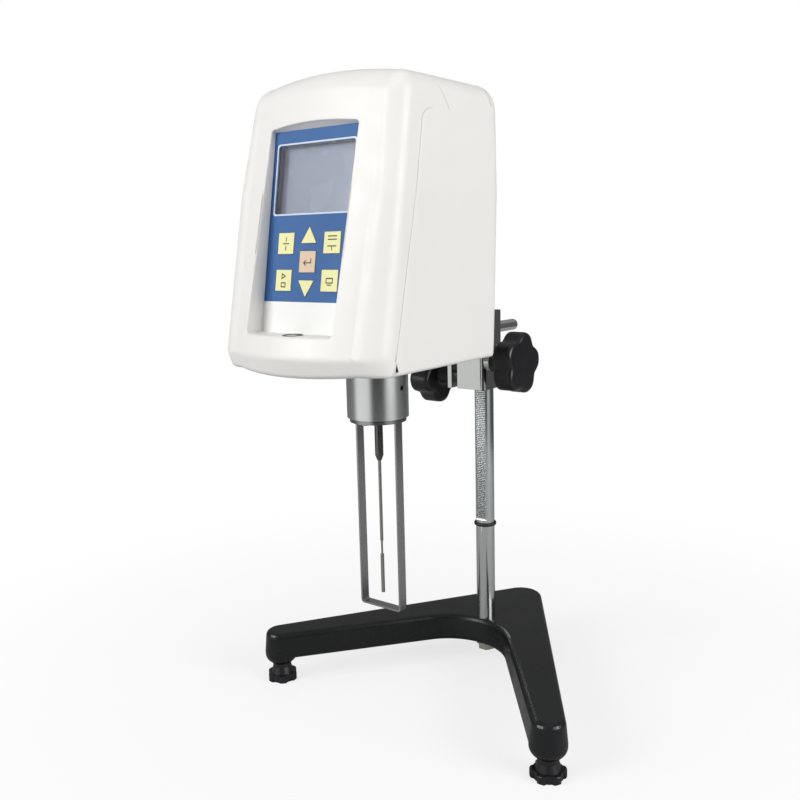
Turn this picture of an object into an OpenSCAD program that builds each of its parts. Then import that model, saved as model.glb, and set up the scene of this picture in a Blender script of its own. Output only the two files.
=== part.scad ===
// Rotational viscometer on a rack stand: measuring head with display and keypad,
// guard leg, spindle, height clamp with pinion, V base with levelling screws.
// Millimetres, +Z up, front towards -Y. Every module is drawn about the axis of the
// upright rod; placed() then centres the whole assembly over the origin.

/* [Stand] */
// Distance between the centres of the two levelling screws
foot_spread = 260; // [250:1:290]
// Distance from the upright rod forward to the levelling screws
foot_forward = 125; // [115:1:140]
// Distance from the upright rod back to the end of the base
rear_reach = 80; // [74:1:92]
// Height of the top face of the base casting
base_top_z = 44.5; // [42.5:0.5:50.5]
// Thickness of the base casting
base_thick = 23; // [20:0.5:25]
// Radius of the leg ends
leg_end_r = 12.5; // [11.5:0.5:15]
// Radius of the rear end of the base
apex_r = 18.5; // [17:0.5:22]
// Radius of the hollow between the legs
web_hollow_r = 49; // [47:1:56]
// Rounding of the casting's edges
casting_edge_r = 4.5; // [2:0.5:6]
// Diameter of the upright rod
rod_d = 16; // [15:0.5:17]
// Height of the top of the upright rod
rod_top_z = 396.5; // [381.5:1:426.5]
// Height of the black stop ring on the rod
stop_ring_z = 129.5; // [96.5:1:146.5]
// Diameter of a levelling screw
foot_screw_d = 8; // [6:1:9]
// Largest radius of a levelling knob
foot_knob_r = 13.2; // [12:0.1:15]

/* [Rack and clamp] */
// Tooth module of rack and pinion
rack_module = 0.5; // [0.5:0.05:0.6]
// Number of pinion teeth
pinion_teeth = 15; // [15:1:16]
// Distance from the rod axis to the tips of the rack teeth
rack_face = 7; // [6.8:0.1:7.2]
// Width of the pinion
pinion_width = 9; // [7:0.5:9.5]
// Height of the pinion axis
pinion_z = 272.2; // [268.5:0.1:275.5]
// Diameter of the pinion shaft
pinion_shaft_d = 6; // [5:0.5:6]
// Height of the clamp's lower face
clamp_bottom_z = 248.5; // [242.5:1:250.5]
// Height of the clamp block
clamp_h = 65; // [63:1:75]
// Distance from the rod axis to the clamp's right face
clamp_right = 11; // [10.5:0.5:14]
// Distance from the rod axis to the clamp's left face
clamp_left = 26.5; // [26:0.5:30]
// Distance from the rod axis to the clamp's front face
clamp_front = 17; // [16.5:0.5:20]
// Distance from the rod axis to the clamp's rear face
clamp_back = 10.5; // [10:0.5:14]
// Width of the clamping slot
slot_w = 6; // [4:0.5:7]
// Height of the lock screw
lock_z = 258.5; // [254.5:1:260.5]
// Diameter of the lock screw
lock_screw_d = 6; // [5:0.5:7]
// Largest radius of the two clamp knobs
knob_r = 25.5; // [23:0.5:28]
// Thickness of the clamp knobs
knob_t = 17.3; // [14:0.1:20]

/* [Mounting rod] */
// Diameter of the head's mounting rod
mount_rod_d = 10; // [9:0.5:10.5]
// Distance of the mounting rod to the left of the upright rod
mount_offset = 18.5; // [18.5:0.5:20]
// Height of the mounting rod's axis
mount_z = 294.2; // [292.5:0.1:295.5]
// Distance from the upright rod back to the free end of the mounting rod
mount_back = 80; // [60:1:100]

/* [Head] */
// Half width of the head at its lower edge
head_half_w = 74; // [70:0.5:78]
// Half width of the head two thirds up
head_half_w_mid = 73; // [69:0.5:77]
// Half width of the head below its roof
head_half_w_top = 69.5; // [66:0.5:74]
// Height of the head's lower face
head_bottom_z = 285.8; // [283.5:0.1:286.5]
// Height of the roof along its edges
head_top_z = 481.8; // [479.5:0.1:496.5]
// Distance from the upright rod forward to the front face, beside the window's lower edge
front_forward = 213.6; // [211:0.1:216]
// Backward lean of the front face, per unit of height
front_lean = 0.25; // [0.23:0.01:0.26]
// Forward bulge of the front face at its lower edge
front_bulge_low = 12; // [6:0.5:14]
// Forward bulge of the front face at its upper edge
front_bulge_top = 4.5; // [2:0.5:8]
// Height of the crease in the front's lower lip
lip_z = 297.5; // [294.5:0.5:301.5]
// Distance from the upright rod forward to the foot of the rear face
rear_forward = 67.5; // [62:0.5:69]
// Forward lean of the rear face, per unit of height
rear_lean = 0.105; // [0:0.005:0.12]
// Crown of the roof
roof_crown = 4; // [0:0.5:6]
// Sag of the front's lower edge
front_sag = 2; // [0:0.5:3]
// Corner radius of the front, low down, seen from above
front_corner_r = 20; // [14:0.5:24]
// Corner radius of the front below the roof, seen from above
front_corner_top_r = 15; // [14.5:0.5:20]
// Rounding between front face and roof
front_roof_r = 14.5; // [8:0.5:14.5]
// Corner radius of the rear, low down, seen from above
rear_corner_r = 9; // [7:0.5:14]
// Corner radius of the rear below the roof, seen from above
rear_corner_top_r = 19; // [18.5:0.5:22]
// Rounding between rear face and roof
rear_roof_r = 18.5; // [8:0.5:18.5]
// Wall of the plastic covers
cover_wall = 2.5; // [2:0.1:2.8]
// Joint line between the covers
seam_gap = 0.4; // [0.2:0.1:0.8]

/* [Front panel] */
// Half width of the window
window_half_w = 39.4; // [38.6:0.1:44]
// Height of the ledge below the window
ledge_z = 311.5; // [309.5:0.5:312.5]
// Height of the window's upper edge at its sides
window_top_z = 450.1; // [449:0.1:452.5]
// Rise of the window's arched upper edge
window_arch = 4; // [2:0.5:5]
// Distance from the upright rod forward to the panel at the ledge
panel_forward = 198.2; // [196:0.1:200]
// Backward lean of the panel, per unit of height
panel_lean = 0.17; // [0.16:0.01:0.2]
// Thickness of the panel
panel_t = 2.5; // [2:0.1:3]
// Lower edge of the keypad above the ledge
strip_h = 21.3; // [20:0.1:22]
// Middle key above the ledge
key_mid_h = 48.2; // [47.5:0.1:49]
// Width and height of a key
key_size = 14.4; // [11:0.1:15]
// Distance between the key columns
key_pitch = 21.2; // [20.5:0.1:23]
// Height of a side key above or below the middle key
key_rise = 12.5; // [12:0.1:13]
// Height of a key cap above the panel
key_proud = 0.6; // [0.4:0.1:1]
// Travel of a key
key_travel = 0.4; // [0.2:0.1:0.5]
// Half width of the display opening
display_half_w = 35; // [30:0.5:35.5]
// Lower edge of the display above the ledge
display_low_h = 80.8; // [79:0.1:82]
// Upper edge of the display above the ledge
display_high_h = 127.4; // [125:0.1:129]

/* [Measuring system] */
// Distance from the upright rod forward to the spindle
spindle_forward = 119.7; // [117:0.1:125]
// Height of the spindle's lower end
spindle_tip_z = 101.5; // [97.5:1:106.5]
// Length of the measuring cylinder
bob_l = 31; // [20:1:36]
// Diameter of the measuring cylinder
bob_d = 2.9; // [2.6:0.1:6]
// Length of the spindle's thin neck
neck_l = 11; // [8:1:14]
// Diameter of the thin neck
neck_d = 1.6; // [1.2:0.1:2.4]
// Diameter of the spindle shaft
spindle_shaft_d = 2.5; // [2.2:0.1:3.4]
// Height of the lower end of the coupling
coupling_z = 207.5; // [201.5:1:211.5]
// Diameter of the coupling
coupling_d = 6.4; // [6:0.1:8]
// Outer radius of the pivot cup
cup_r = 23.4; // [22.5:0.1:24]
// Height of the lower face of the pivot cup
cup_bottom_z = 242; // [239.5:0.5:244.5]
// Outer radius of the guard ring
guard_ring_r = 21.5; // [20.5:0.1:22.5]
// Height of the guard ring
guard_ring_h = 3.4; // [3:0.1:5]
// Half width of the guard leg over its outer faces
guard_half_w = 19.6; // [18:0.1:20]
// Height of the lower end of the guard leg
guard_bottom_z = 89.9; // [85:0.1:94]
// Width of the guard leg's strip
guard_strip_w = 7.8; // [7:0.1:10]
// Thickness of the guard leg's strip
guard_strip_t = 1.5; // [1.2:0.1:2]

/* [Hidden] */
$fn = 64;
eps = 0.01;

// Radial clearance of turning and sliding fits
run_fit = 0.04;

// ---- Stand, derived ----
foot_x = foot_spread / 2;
rod_r = rod_d / 2;
base_bottom_z = base_top_z - base_thick;
apex_y = rear_reach - apex_r;
// Inner edge of each leg: a line that leaves the rod's cross plane at this half width
inner_half_w = 15.4;
inner_slope = (foot_x - leg_end_r * 1.27 - inner_half_w) / foot_forward;
inner_k = sqrt(1 + inner_slope * inner_slope);
web_disc_r = 6;
web_y = (inner_half_w + web_disc_r * inner_k) / inner_slope;
hollow_y = (inner_half_w - web_hollow_r * inner_k) / inner_slope;
boss_bottom_z = 15.5;
boss_round_r = 8.5;
casting_draft = 1.3;
rod_seat_z = base_bottom_z + 5;
ring_r = 1.5;
bolt_d = 8;
bolt_head_h = 5.3;
bolt_head_r = 7.5;
washer_t = 1.4;
washer_r = 9;
foot_collar_h = 2.8;
foot_collar_r = 7.8;
foot_collar_z = boss_bottom_z - 0.2 - foot_collar_h;
foot_stud_top_z = base_top_z - 12;
foot_travel = 8;
rear_boss_z = 10;
rear_boss_y = apex_y;
rear_foot_r = 10;

// ---- Rack and pinion ----
pressure_angle = 25;
tooth_addendum = 0.8 * rack_module;
tooth_dedendum = 1.05 * rack_module;
tooth_backlash = 0.12;
tooth_pitch = PI * rack_module;
pinion_pitch_r = rack_module * pinion_teeth / 2;
rack_pitch_y = -(rack_face - tooth_addendum);
pinion_y = rack_pitch_y - pinion_pitch_r;
pinion_tip_r = pinion_pitch_r + tooth_addendum;
pinion_pocket_r = pinion_tip_r + 0.5;
pinion_half_w = pinion_width / 2;
bushing_r = 7;
bushing_l = 5;
// The bushing starts where the round rod has curved away from its inner end
bushing_in_x = sqrt(pow(rod_r, 2) - pow(-pinion_y - pinion_pocket_r - 0.35, 2));
knob_gap = 0.3;
height_knob_x = clamp_right + 15.3;
lock_knob_x = -clamp_left - 14.5;
knob_lobe_w = 13.5;
knob_corner_r = 3.5;
height_knob_turn = 16;
knob_edge_r = 4;
tension_z = (mount_z + mount_rod_d / 2 + clamp_bottom_z + clamp_h) / 2 - 4;
tension_r = 3;
clamp_edge_r = 4;
lock_y = -3.5;

// ---- Mounting rod and head placing ----
head_x = -mount_offset;
mount_rod_r = mount_rod_d / 2;
mount_front_y = -spindle_forward + cup_r + 3.5;
spindle_y = -spindle_forward;

function front_y(z) = -front_forward + front_lean * (z - ledge_z);
function rear_y(z) = -rear_forward + rear_lean * (z - head_bottom_z);
function panel_y(z) = -panel_forward + panel_lean * (z - ledge_z);
// Front face at its corners, where bulge is the height of the bow above them
function front_corner_y(z, bulge) = front_y(z) + bulge / 2;

keypad_low_z = ledge_z + strip_h;
key_mid_z = ledge_z + key_mid_h;
display_low_z = ledge_z + display_low_h;
display_high_z = ledge_z + display_high_h;
head_mid_z = 406.5;
mid_corner_r = 12;
rear_mid_corner_r = 15;
low_edge_r = 3.2;
lip_inset = 3;
// Front end of the head, at the middle of its lip
front_reach = -(front_corner_y(lip_z, front_bulge_low) - front_bulge_low);
// Moves the assembly so that its box is centred over the origin
centre_y = (front_reach - mount_back) / 2;

panel_angle = atan(panel_lean);
panel_half_w = window_half_w + 2.6;
panel_high_z = window_top_z + window_arch + 1;
bezel_wall = 2.5;
window_corner_r = 4;
// Joint line between the covers: parallel to the front face up to a shoulder, rounded back from
// there to a level step, then up and forward across the roof
seam_depth = 27;
seam_shoulder_z = 445.5;
seam_round_l = 13;
seam_round_h = 12;
seam_step_l = 33;
seam_roof_lean = 0.625;

// ---- Inside the head ----
floor_z = head_bottom_z + cover_wall;
plate_z = floor_z + 0.1;
plate_t = 4;
plate_half_w = 54;
plate_front_y = spindle_y - 46;
plate_back_y = -rear_forward - 10;
socket_half_w = 12;
socket_top_z = mount_z + mount_rod_r + 4;
deck_z = 356.5;
deck_t = 4;
post_r = 4;
post_x = 49;
cup_top_z = plate_z - 0.1;
cup_wall = 3;
gear_module = 1;
gear_teeth = 56;
motor_teeth = 14;
gear_pressure_angle = 20;
gear_z = deck_z + deck_t + 2;
gear_t = 5;
gear_distance = gear_module * (gear_teeth + motor_teeth) / 2;
motor_angle = -50;
motor_x = gear_distance * cos(motor_angle);
motor_y = spindle_y + gear_distance * sin(motor_angle);
motor_r = 18;
motor_h = 38;
drive_shaft_r = 3;
drive_shaft_z = 341.5;
carrier_r = 15.5;
pivot_r = 1.5;
pivot_top_z = 346.5;
spring_z = 334.5;
spring_h = 4;
spring_turns = 4;
spring_r0 = 1.78;
spring_pitch = 3;
spring_t = 0.5;
spring_end_r = spring_r0 + spring_pitch * spring_turns + spring_t / 2;
disc_z = 327.5;
disc_t = 1.2;
disc_r = 14;
bearing_r = 5;
bearing_h = 4;
display_depth = 6;
display_module_t = 8;

// ================= helpers =================

// Puts its children in the assembly's frame
module placed() translate([0, centre_y, 0]) children();

// Rectangle with round corners, centred
module round_rect(w, h, r) {
    square([w - 2 * r, h], center = true);
    square([w, h - 2 * r], center = true);
    for (x = [-1, 1], y = [-1, 1]) translate([x * (w / 2 - r), y * (h / 2 - r)]) circle(r);
}

// Cylinder along +X from x0 to x1
module rod_x(r, x0, x1) translate([x0, 0, 0]) rotate([0, 90, 0]) cylinder(r = r, h = x1 - x0);

// Cylinder along +Y from y0 to y1
module rod_y(r, y0, y1) translate([0, y0, 0]) rotate([-90, 0, 0]) cylinder(r = r, h = y1 - y0);

// Disc with rounded rims, wider at its foot by draft, as a child of a hull
module soft_disc(r, z0, z1, edge, draft) {
    for (a = [0:22.5:90]) {
        inset = edge * (1 - cos(a));
        rise = edge * sin(a);
        translate([0, 0, z0 + edge - rise])
            cylinder(r1 = r + draft - inset, r2 = r - inset, h = z1 - z0 - 2 * (edge - rise), $fn = 32);
    }
}

// Outline with round lobes, one of them along +X
module lobed(count, tip_r, lobe_r, core_r) {
    circle(core_r);
    for (i = [0:count - 1]) rotate(i * 360 / count) translate([tip_r - lobe_r, 0]) circle(lobe_r);
}

// Half profile of a disc with rounded outer edges, for a revolve
module rounded_profile(r, h, edge) {
    square([r - edge, h]);
    translate([0, edge]) square([r, h - 2 * edge]);
    for (z = [edge, h - edge]) translate([r - edge, z]) circle(edge);
}

// Star outline with wide, flat-ended lobes, one of them along +X
module star(count, tip_r, core_r, lobe_w, corner_r) {
    reach = sqrt(tip_r * tip_r - lobe_w * lobe_w / 4);
    circle(core_r);
    for (i = [0:count - 1]) rotate(i * 360 / count) {
        translate([0, corner_r - lobe_w / 2]) square([reach, lobe_w - 2 * corner_r]);
        translate([0, -lobe_w / 2]) square([reach - corner_r, lobe_w]);
        for (side = [-1, 1]) translate([reach - corner_r, side * (lobe_w / 2 - corner_r)]) circle(corner_r);
    }
}

// Five-lobed clamp knob along +Z, its hub below and its grip above z = 0
module clamp_knob(hub_l, bore_r, bore_depth) {
    hub_r = 9;
    difference() {
        union() {
            intersection() {
                linear_extrude(knob_t) star(5, knob_r, knob_r - 2.8, knob_lobe_w, knob_corner_r);
                rotate_extrude() rounded_profile(knob_r, knob_t, knob_edge_r);
            }
            translate([0, 0, -hub_l]) cylinder(r = hub_r, h = hub_l + eps);
        }
        translate([0, 0, -hub_l - 1]) cylinder(r = bore_r, h = hub_l + 1 + bore_depth);
    }
}

// ---- gears ----
function involute_angle(base_r, r) = r <= base_r ? 0 : (sqrt(pow(r / base_r, 2) - 1) * 180 / PI - acos(base_r / r));

// Spur gear outline with involute flanks, one tooth along +X
module gear_outline(m, teeth, angle, addendum, dedendum, backlash) {
    pitch_r = m * teeth / 2;
    base_r = pitch_r * cos(angle);
    root_r = pitch_r - dedendum;
    tip_r = pitch_r + addendum;
    start_r = max(base_r, root_r);
    half_pitch = 90 / teeth - backlash / pitch_r * 90 / PI;
    shift = half_pitch + involute_angle(base_r, pitch_r);
    steps = 4;
    flank = [for (i = [0:steps])
        let (r = start_r + (tip_r - start_r) * i / steps)
        [r, shift - involute_angle(base_r, r)]];
    polygon([for (k = [0:teeth - 1])
        let (mid = k * 360 / teeth)
        each concat(
            [[root_r * cos(mid - shift), root_r * sin(mid - shift)]],
            [for (p = flank) [p[0] * cos(mid - p[1]), p[0] * sin(mid - p[1])]],
            [for (i = [steps:-1:0]) [flank[i][0] * cos(mid + flank[i][1]), flank[i][0] * sin(mid + flank[i][1])]],
            [[root_r * cos(mid + shift), root_r * sin(mid + shift)]])]);
}

// Side profile of the rack in Y and Z, from its back at y = 0 to the tooth tips
module rack_outline(z0, z1) {
    tip_half = tooth_pitch / 4 - tooth_addendum * tan(pressure_angle) - tooth_backlash / 4;
    root_half = tooth_pitch / 4 + tooth_dedendum * tan(pressure_angle) - tooth_backlash / 4;
    tip_y = rack_pitch_y - tooth_addendum;
    root_y = rack_pitch_y + tooth_dedendum;
    first = ceil((z0 - pinion_z) / tooth_pitch + 0.5);
    last = floor((z1 - pinion_z) / tooth_pitch - 0.5);
    polygon(concat([[0, z0], [root_y, z0]],
        [for (k = [first:last])
            let (z = pinion_z + (k + 0.5) * tooth_pitch)
            each [[root_y, z - root_half], [tip_y, z - tip_half], [tip_y, z + tip_half], [root_y, z + root_half]]],
        [[root_y, z1], [0, z1]]));
}

// ================= stand =================

// Disc of the casting's full height
module casting_disc(r) soft_disc(r, base_bottom_z, base_top_z, casting_edge_r, casting_draft);

module leg_blank(side) hull() {
    translate([side * foot_x, -foot_forward, 0]) casting_disc(leg_end_r);
    translate([0, apex_y, 0]) casting_disc(apex_r);
    translate([0, web_y, 0]) casting_disc(web_disc_r);
}

// Web that fills the corner between the legs up to a round hollow with soft rims
module web() difference() {
    chord_x = web_hollow_r / inner_k + casting_edge_r * inner_k;
    chord_y = hollow_y + web_hollow_r * inner_slope / inner_k;
    tip_y = (inner_half_w + casting_edge_r * inner_k) / inner_slope;
    low_r = web_hollow_r - casting_draft;
    edge = casting_edge_r;
    translate([0, 0, base_bottom_z]) linear_extrude(base_thick)
        polygon([[0, tip_y], [-chord_x, chord_y], [chord_x, chord_y]]);
    translate([0, hollow_y, base_bottom_z]) rotate_extrude($fn = 96) polygon(concat(
        [[0, -1], [low_r + edge, -1]],
        [for (a = [0:15:90]) [low_r + edge * (1 - sin(a)), edge * (1 - cos(a))]],
        [for (a = [90:-15:0]) [web_hollow_r + edge * (1 - sin(a)), base_thick - edge * (1 - cos(a))]],
        [[web_hollow_r + edge, base_thick + 1], [0, base_thick + 1]]));
}

// Boss under a leg end, rounded below
module foot_boss() {
    boss_r = leg_end_r + casting_draft;
    flat_r = boss_r - boss_round_r;
    round_z = boss_bottom_z + boss_round_r;
    shank_z = base_bottom_z + casting_edge_r;
    rotate_extrude() {
        translate([0, boss_bottom_z]) square([flat_r, base_thick / 2]);
        translate([0, round_z]) square([boss_r, shank_z - round_z]);
        intersection() {
            translate([flat_r, round_z]) circle(boss_round_r);
            translate([0, boss_bottom_z]) square([boss_r, boss_round_r + eps]);
        }
    }
    translate([0, 0, shank_z - eps])
        cylinder(r1 = boss_r, r2 = leg_end_r, h = base_thick - 2 * casting_edge_r);
}

module base_casting() color("#1b1c1f") difference() {
    union() {
        leg_blank(-1);
        leg_blank(1);
        web();
        for (side = [-1, 1]) translate([side * foot_x, -foot_forward, 0]) foot_boss();
        translate([0, rear_boss_y, rear_boss_z])
            cylinder(r = rear_foot_r + 2, h = base_bottom_z - rear_boss_z + casting_edge_r);
    }
    translate([0, 0, rod_seat_z]) cylinder(r = rod_r + run_fit, h = base_top_z);
    cylinder(r = bolt_d / 2 + 0.3, h = base_top_z);
    for (side = [-1, 1]) translate([side * foot_x, -foot_forward, 0])
        cylinder(r = foot_screw_d / 2 + run_fit, h = foot_stud_top_z + 1);
    translate([0, rear_boss_y, 0]) cylinder(r = 3.2, h = rear_boss_z + 8.5);
}

module upright_rod() color("#c4c7ca") difference() {
    rack_z0 = stop_ring_z + 4;
    intersection() {
        translate([0, 0, rod_seat_z]) cylinder(r = rod_r, h = rod_top_z - rod_seat_z);
        union() {
            translate([-rod_r, -rod_r, 0]) cube([rod_d, rod_d, rack_z0]);
            translate([-rod_r, 0, 0]) cube([rod_d, rod_r, rod_top_z]);
            translate([-rod_r, 0, 0]) rotate([90, 0, 90]) linear_extrude(rod_d) rack_outline(rack_z0, rod_top_z - 2);
            translate([-rod_r, rack_pitch_y, rod_top_z - 2 - eps]) cube([rod_d, rod_r, 2 + eps]);
        }
    }
    translate([0, 0, rod_seat_z - 1]) cylinder(r = bolt_d / 2 + run_fit, h = 27);
}

module rod_bolt() color("#b9b6ad") {
    head_z = base_bottom_z - washer_t - bolt_head_h;
    translate([0, 0, head_z]) cylinder(r = bolt_head_r, h = bolt_head_h, $fn = 6);
    translate([0, 0, head_z]) cylinder(r = bolt_d / 2, h = bolt_head_h + washer_t + 29);
}

module rod_washer() color("#c9c7bf") translate([0, 0, base_bottom_z - washer_t]) difference() {
    cylinder(r = washer_r, h = washer_t);
    translate([0, 0, -1]) cylinder(r = bolt_d / 2 + 0.3, h = washer_t + 2);
}

// Rubber ring of round section, flat where it grips the rod
module stop_ring() color("#151515") translate([0, 0, stop_ring_z]) rotate_extrude() intersection() {
    translate([rod_r + ring_r - 0.4, 0]) circle(ring_r);
    translate([rod_r + 0.02, -ring_r]) square(2 * ring_r);
}

module rear_foot() color("#202020") translate([0, rear_boss_y, 0]) {
    cylinder(r = rear_foot_r, h = rear_boss_z);
    cylinder(r = 3.1, h = rear_boss_z + 8);
}

// ---- levelling screws ----
module foot_collar(side) color("#17181a") translate([side * foot_x, -foot_forward, foot_collar_z]) difference() {
    cylinder(r = foot_collar_r, h = foot_collar_h);
    translate([0, 0, -1]) cylinder(r = foot_screw_d / 2 + run_fit, h = foot_collar_h + 2);
}

module foot_stud(side) color("#8d9094") translate([side * foot_x, -foot_forward, 3])
    cylinder(r = foot_screw_d / 2, h = foot_stud_top_z - 3);

// Six-lobed levelling knob, turned so that a lobe points along angle
module foot_knob(side, angle) color("#1c1d20") translate([side * foot_x, -foot_forward, 0]) {
    lobe_h = 6.4;
    lobe_r = 3.6;
    hub_low_r = 9.4;
    hub_h = foot_collar_z - 0.2 - lobe_h;
    difference() {
        union() {
            intersection() {
                linear_extrude(lobe_h) rotate(angle) lobed(6, foot_knob_r, lobe_r, foot_knob_r - 2.4);
                rotate_extrude() rounded_profile(foot_knob_r, lobe_h, 1.2);
            }
            translate([0, 0, lobe_h - eps]) cylinder(r1 = hub_low_r, r2 = foot_collar_r, h = hub_h + eps);
        }
        translate([0, 0, 3]) cylinder(r = foot_screw_d / 2, h = 30);
    }
}

module left_foot_collar() foot_collar(-1);
module right_foot_collar() foot_collar(1);
module left_foot_stud() foot_stud(-1);
module right_foot_stud() foot_stud(1);
module left_foot_knob() foot_knob(-1, 16);
module right_foot_knob() foot_knob(1, 33);

// ================= clamp =================

module clamp_outline() {
    w = clamp_left + clamp_right;
    d = clamp_front + clamp_back;
    small_r = 1.5;
    translate([(clamp_right - clamp_left) / 2, (clamp_back - clamp_front) / 2]) difference() {
        round_rect(w, d, small_r);
        translate([w / 2 - clamp_edge_r, -d / 2 + clamp_edge_r]) difference() {
            translate([0, -clamp_edge_r - 1]) square(clamp_edge_r + 1);
            circle(clamp_edge_r);
        }
    }
}

module clamp_block() color("#a9adb0") difference() {
    translate([0, 0, clamp_bottom_z]) linear_extrude(clamp_h) clamp_outline();
    translate([0, 0, clamp_bottom_z - 1]) cylinder(r = rod_r + run_fit, h = clamp_h + 2);
    translate([head_x, 0, mount_z]) rod_y(mount_rod_r + run_fit, -clamp_front - 1, clamp_back + 1);
    translate([head_x - slot_w / 2, -clamp_front - 1, clamp_bottom_z - 1])
        cube([slot_w, clamp_front + clamp_back + 2, mount_z - clamp_bottom_z + 1]);
    translate([0, pinion_y, pinion_z]) rod_x(pinion_pocket_r, -pinion_half_w - 0.4, clamp_right + 1);
    translate([0, pinion_y, pinion_z]) rod_x(pinion_shaft_d / 2 + run_fit, -rod_r - 1.5, 0);
    translate([0, lock_y, lock_z]) rod_x(lock_screw_d / 2 + run_fit, -clamp_left - 1, -rod_r - 1.5);
    translate([0, 0, tension_z]) rod_y(tension_r + run_fit, -clamp_front - 1, 0);
}

module pinion_bushing() color("#8a8e91") translate([0, pinion_y, pinion_z]) difference() {
    union() {
        rod_x(bushing_r, clamp_right, clamp_right + bushing_l);
        rod_x(pinion_pocket_r - run_fit, max(pinion_half_w + 0.4, bushing_in_x), clamp_right + 1);
    }
    rod_x(pinion_shaft_d / 2 + run_fit, 0, clamp_right + bushing_l + 1);
}

module tension_insert() color("#d8d4c4") translate([0, 0, tension_z]) rod_y(tension_r, -clamp_front + 4.2, -rack_face - 0.06);

module tension_screw() color("#55585b") translate([0, 0, tension_z]) difference() {
    rod_y(tension_r, -clamp_front - 0.5, -clamp_front + 4.1);
    translate([-tension_r, -clamp_front - 1, -0.4]) cube([2 * tension_r, 1.5, 0.8]);
}

module pinion_shaft() color("#b5b8bb") translate([0, pinion_y, pinion_z]) {
    rod_x(pinion_shaft_d / 2, -rod_r - 1.2, height_knob_x + 9);
    rotate([90, 0, 90]) translate([0, 0, -pinion_half_w]) linear_extrude(pinion_width)
        gear_outline(rack_module, pinion_teeth, pressure_angle, tooth_addendum, tooth_dedendum, tooth_backlash);
}

module height_knob() color("#1b1b20") translate([height_knob_x, pinion_y, pinion_z]) rotate([0, 90, 0])
    rotate(180 - height_knob_turn)
        clamp_knob(height_knob_x - clamp_right - bushing_l - knob_gap, pinion_shaft_d / 2, 9);

module lock_screw() color("#b5b8bb") translate([0, lock_y, lock_z])
    rod_x(lock_screw_d / 2, lock_knob_x - 9, -rod_r - 1.8);

module lock_knob() color("#1b1b20") translate([lock_knob_x, lock_y, lock_z]) rotate([0, -90, 0])
    rotate(180) clamp_knob(-lock_knob_x - clamp_left - knob_gap, lock_screw_d / 2, 9);

module mounting_rod() color("#c4c7ca") translate([head_x, 0, mount_z]) intersection() {
    rod_y(mount_rod_r, mount_front_y, mount_back);
    translate([0, mount_front_y, 0]) rotate([-90, 0, 0]) rotate_extrude() {
        length = mount_back - mount_front_y;
        square([mount_rod_r - 1.5, length]);
        square([mount_rod_r, length - 1.5]);
        translate([mount_rod_r - 1.5, length - 1.5]) circle(1.5);
    }
}

// ================= head housing =================

// Disc for a hull with its upper rim rounded, its surface moved inwards by inset
module upper_disc(r, edge, inset) {
    for (a = [0:22.5:90]) {
        translate([0, 0, (edge - inset) * sin(a) - 0.1])
            cylinder(r = r - inset - (edge - inset) * (1 - cos(a)), h = 0.1, $fn = 40);
    }
}

// Disc for a hull with its lower rim rounded, its surface moved inwards by inset
module lower_disc(r, edge, inset) mirror([0, 0, 1]) upper_disc(r, edge, inset);

// Body of the head, its surface moved inwards by inset
module head_solid(inset) translate([head_x, 0, 0]) hull() {
    top_front_z = head_top_z - front_roof_r;
    top_rear_z = head_top_z - rear_roof_r;
    low_z = head_bottom_z + low_edge_r;
    for (t = [-1:0.25:1]) {
        bow = 1 - t * t;
        low_x = t * (head_half_w - front_corner_r);
        lip_y = front_corner_y(lip_z, front_bulge_low) - front_bulge_low * bow;
        translate([low_x, lip_y + front_corner_r, lip_z]) cylinder(r = front_corner_r - inset, h = 0.1, $fn = 40);
        translate([low_x, lip_y + front_corner_r, low_z - front_sag * bow])
            lower_disc(front_corner_r - lip_inset, low_edge_r, inset);
        translate([t * (head_half_w_top - front_corner_top_r),
            front_corner_y(top_front_z, front_bulge_top) - front_bulge_top * bow + front_corner_top_r,
            top_front_z + roof_crown * bow]) upper_disc(front_corner_top_r, front_roof_r, inset);
        translate([t * (head_half_w_top - rear_corner_top_r), rear_y(top_rear_z) - rear_corner_top_r,
            top_rear_z + roof_crown * bow]) upper_disc(rear_corner_top_r, rear_roof_r, inset);
    }
    for (side = [-1, 1]) {
        translate([side * (head_half_w - rear_corner_r), rear_y(low_z) - rear_corner_r, low_z])
            lower_disc(rear_corner_r, low_edge_r, inset);
        translate([side * (head_half_w_mid - rear_mid_corner_r), rear_y(head_mid_z) - rear_mid_corner_r, head_mid_z])
            cylinder(r = rear_mid_corner_r - inset, h = 0.1, $fn = 40);
        translate([side * (head_half_w_mid - mid_corner_r),
            front_corner_y(head_mid_z, front_bulge_low) + mid_corner_r, head_mid_z])
            cylinder(r = mid_corner_r - inset, h = 0.1, $fn = 40);
    }
}

// Everything in front of the joint line, seen from the side, grown by margin
module seam_region(margin) {
    far = 400;
    low = head_bottom_z - 40;
    high = head_top_z + 40;
    shoulder_y = front_y(seam_shoulder_z) + seam_depth + margin;
    step_z = seam_shoulder_z + seam_round_h - margin;
    translate([head_x - far / 2, 0, 0]) rotate([90, 0, 90]) linear_extrude(far)
        polygon(concat([[-far, low], [front_y(low) + seam_depth + margin, low]],
            [for (a = [0:15:90]) [shoulder_y + seam_round_l * (1 - cos(a)),
                seam_shoulder_z + (step_z - seam_shoulder_z) * sin(a)]],
            [[shoulder_y + seam_step_l, step_z],
                [shoulder_y + seam_step_l - seam_roof_lean * (high - step_z), high], [-far, high]]));
}

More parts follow.
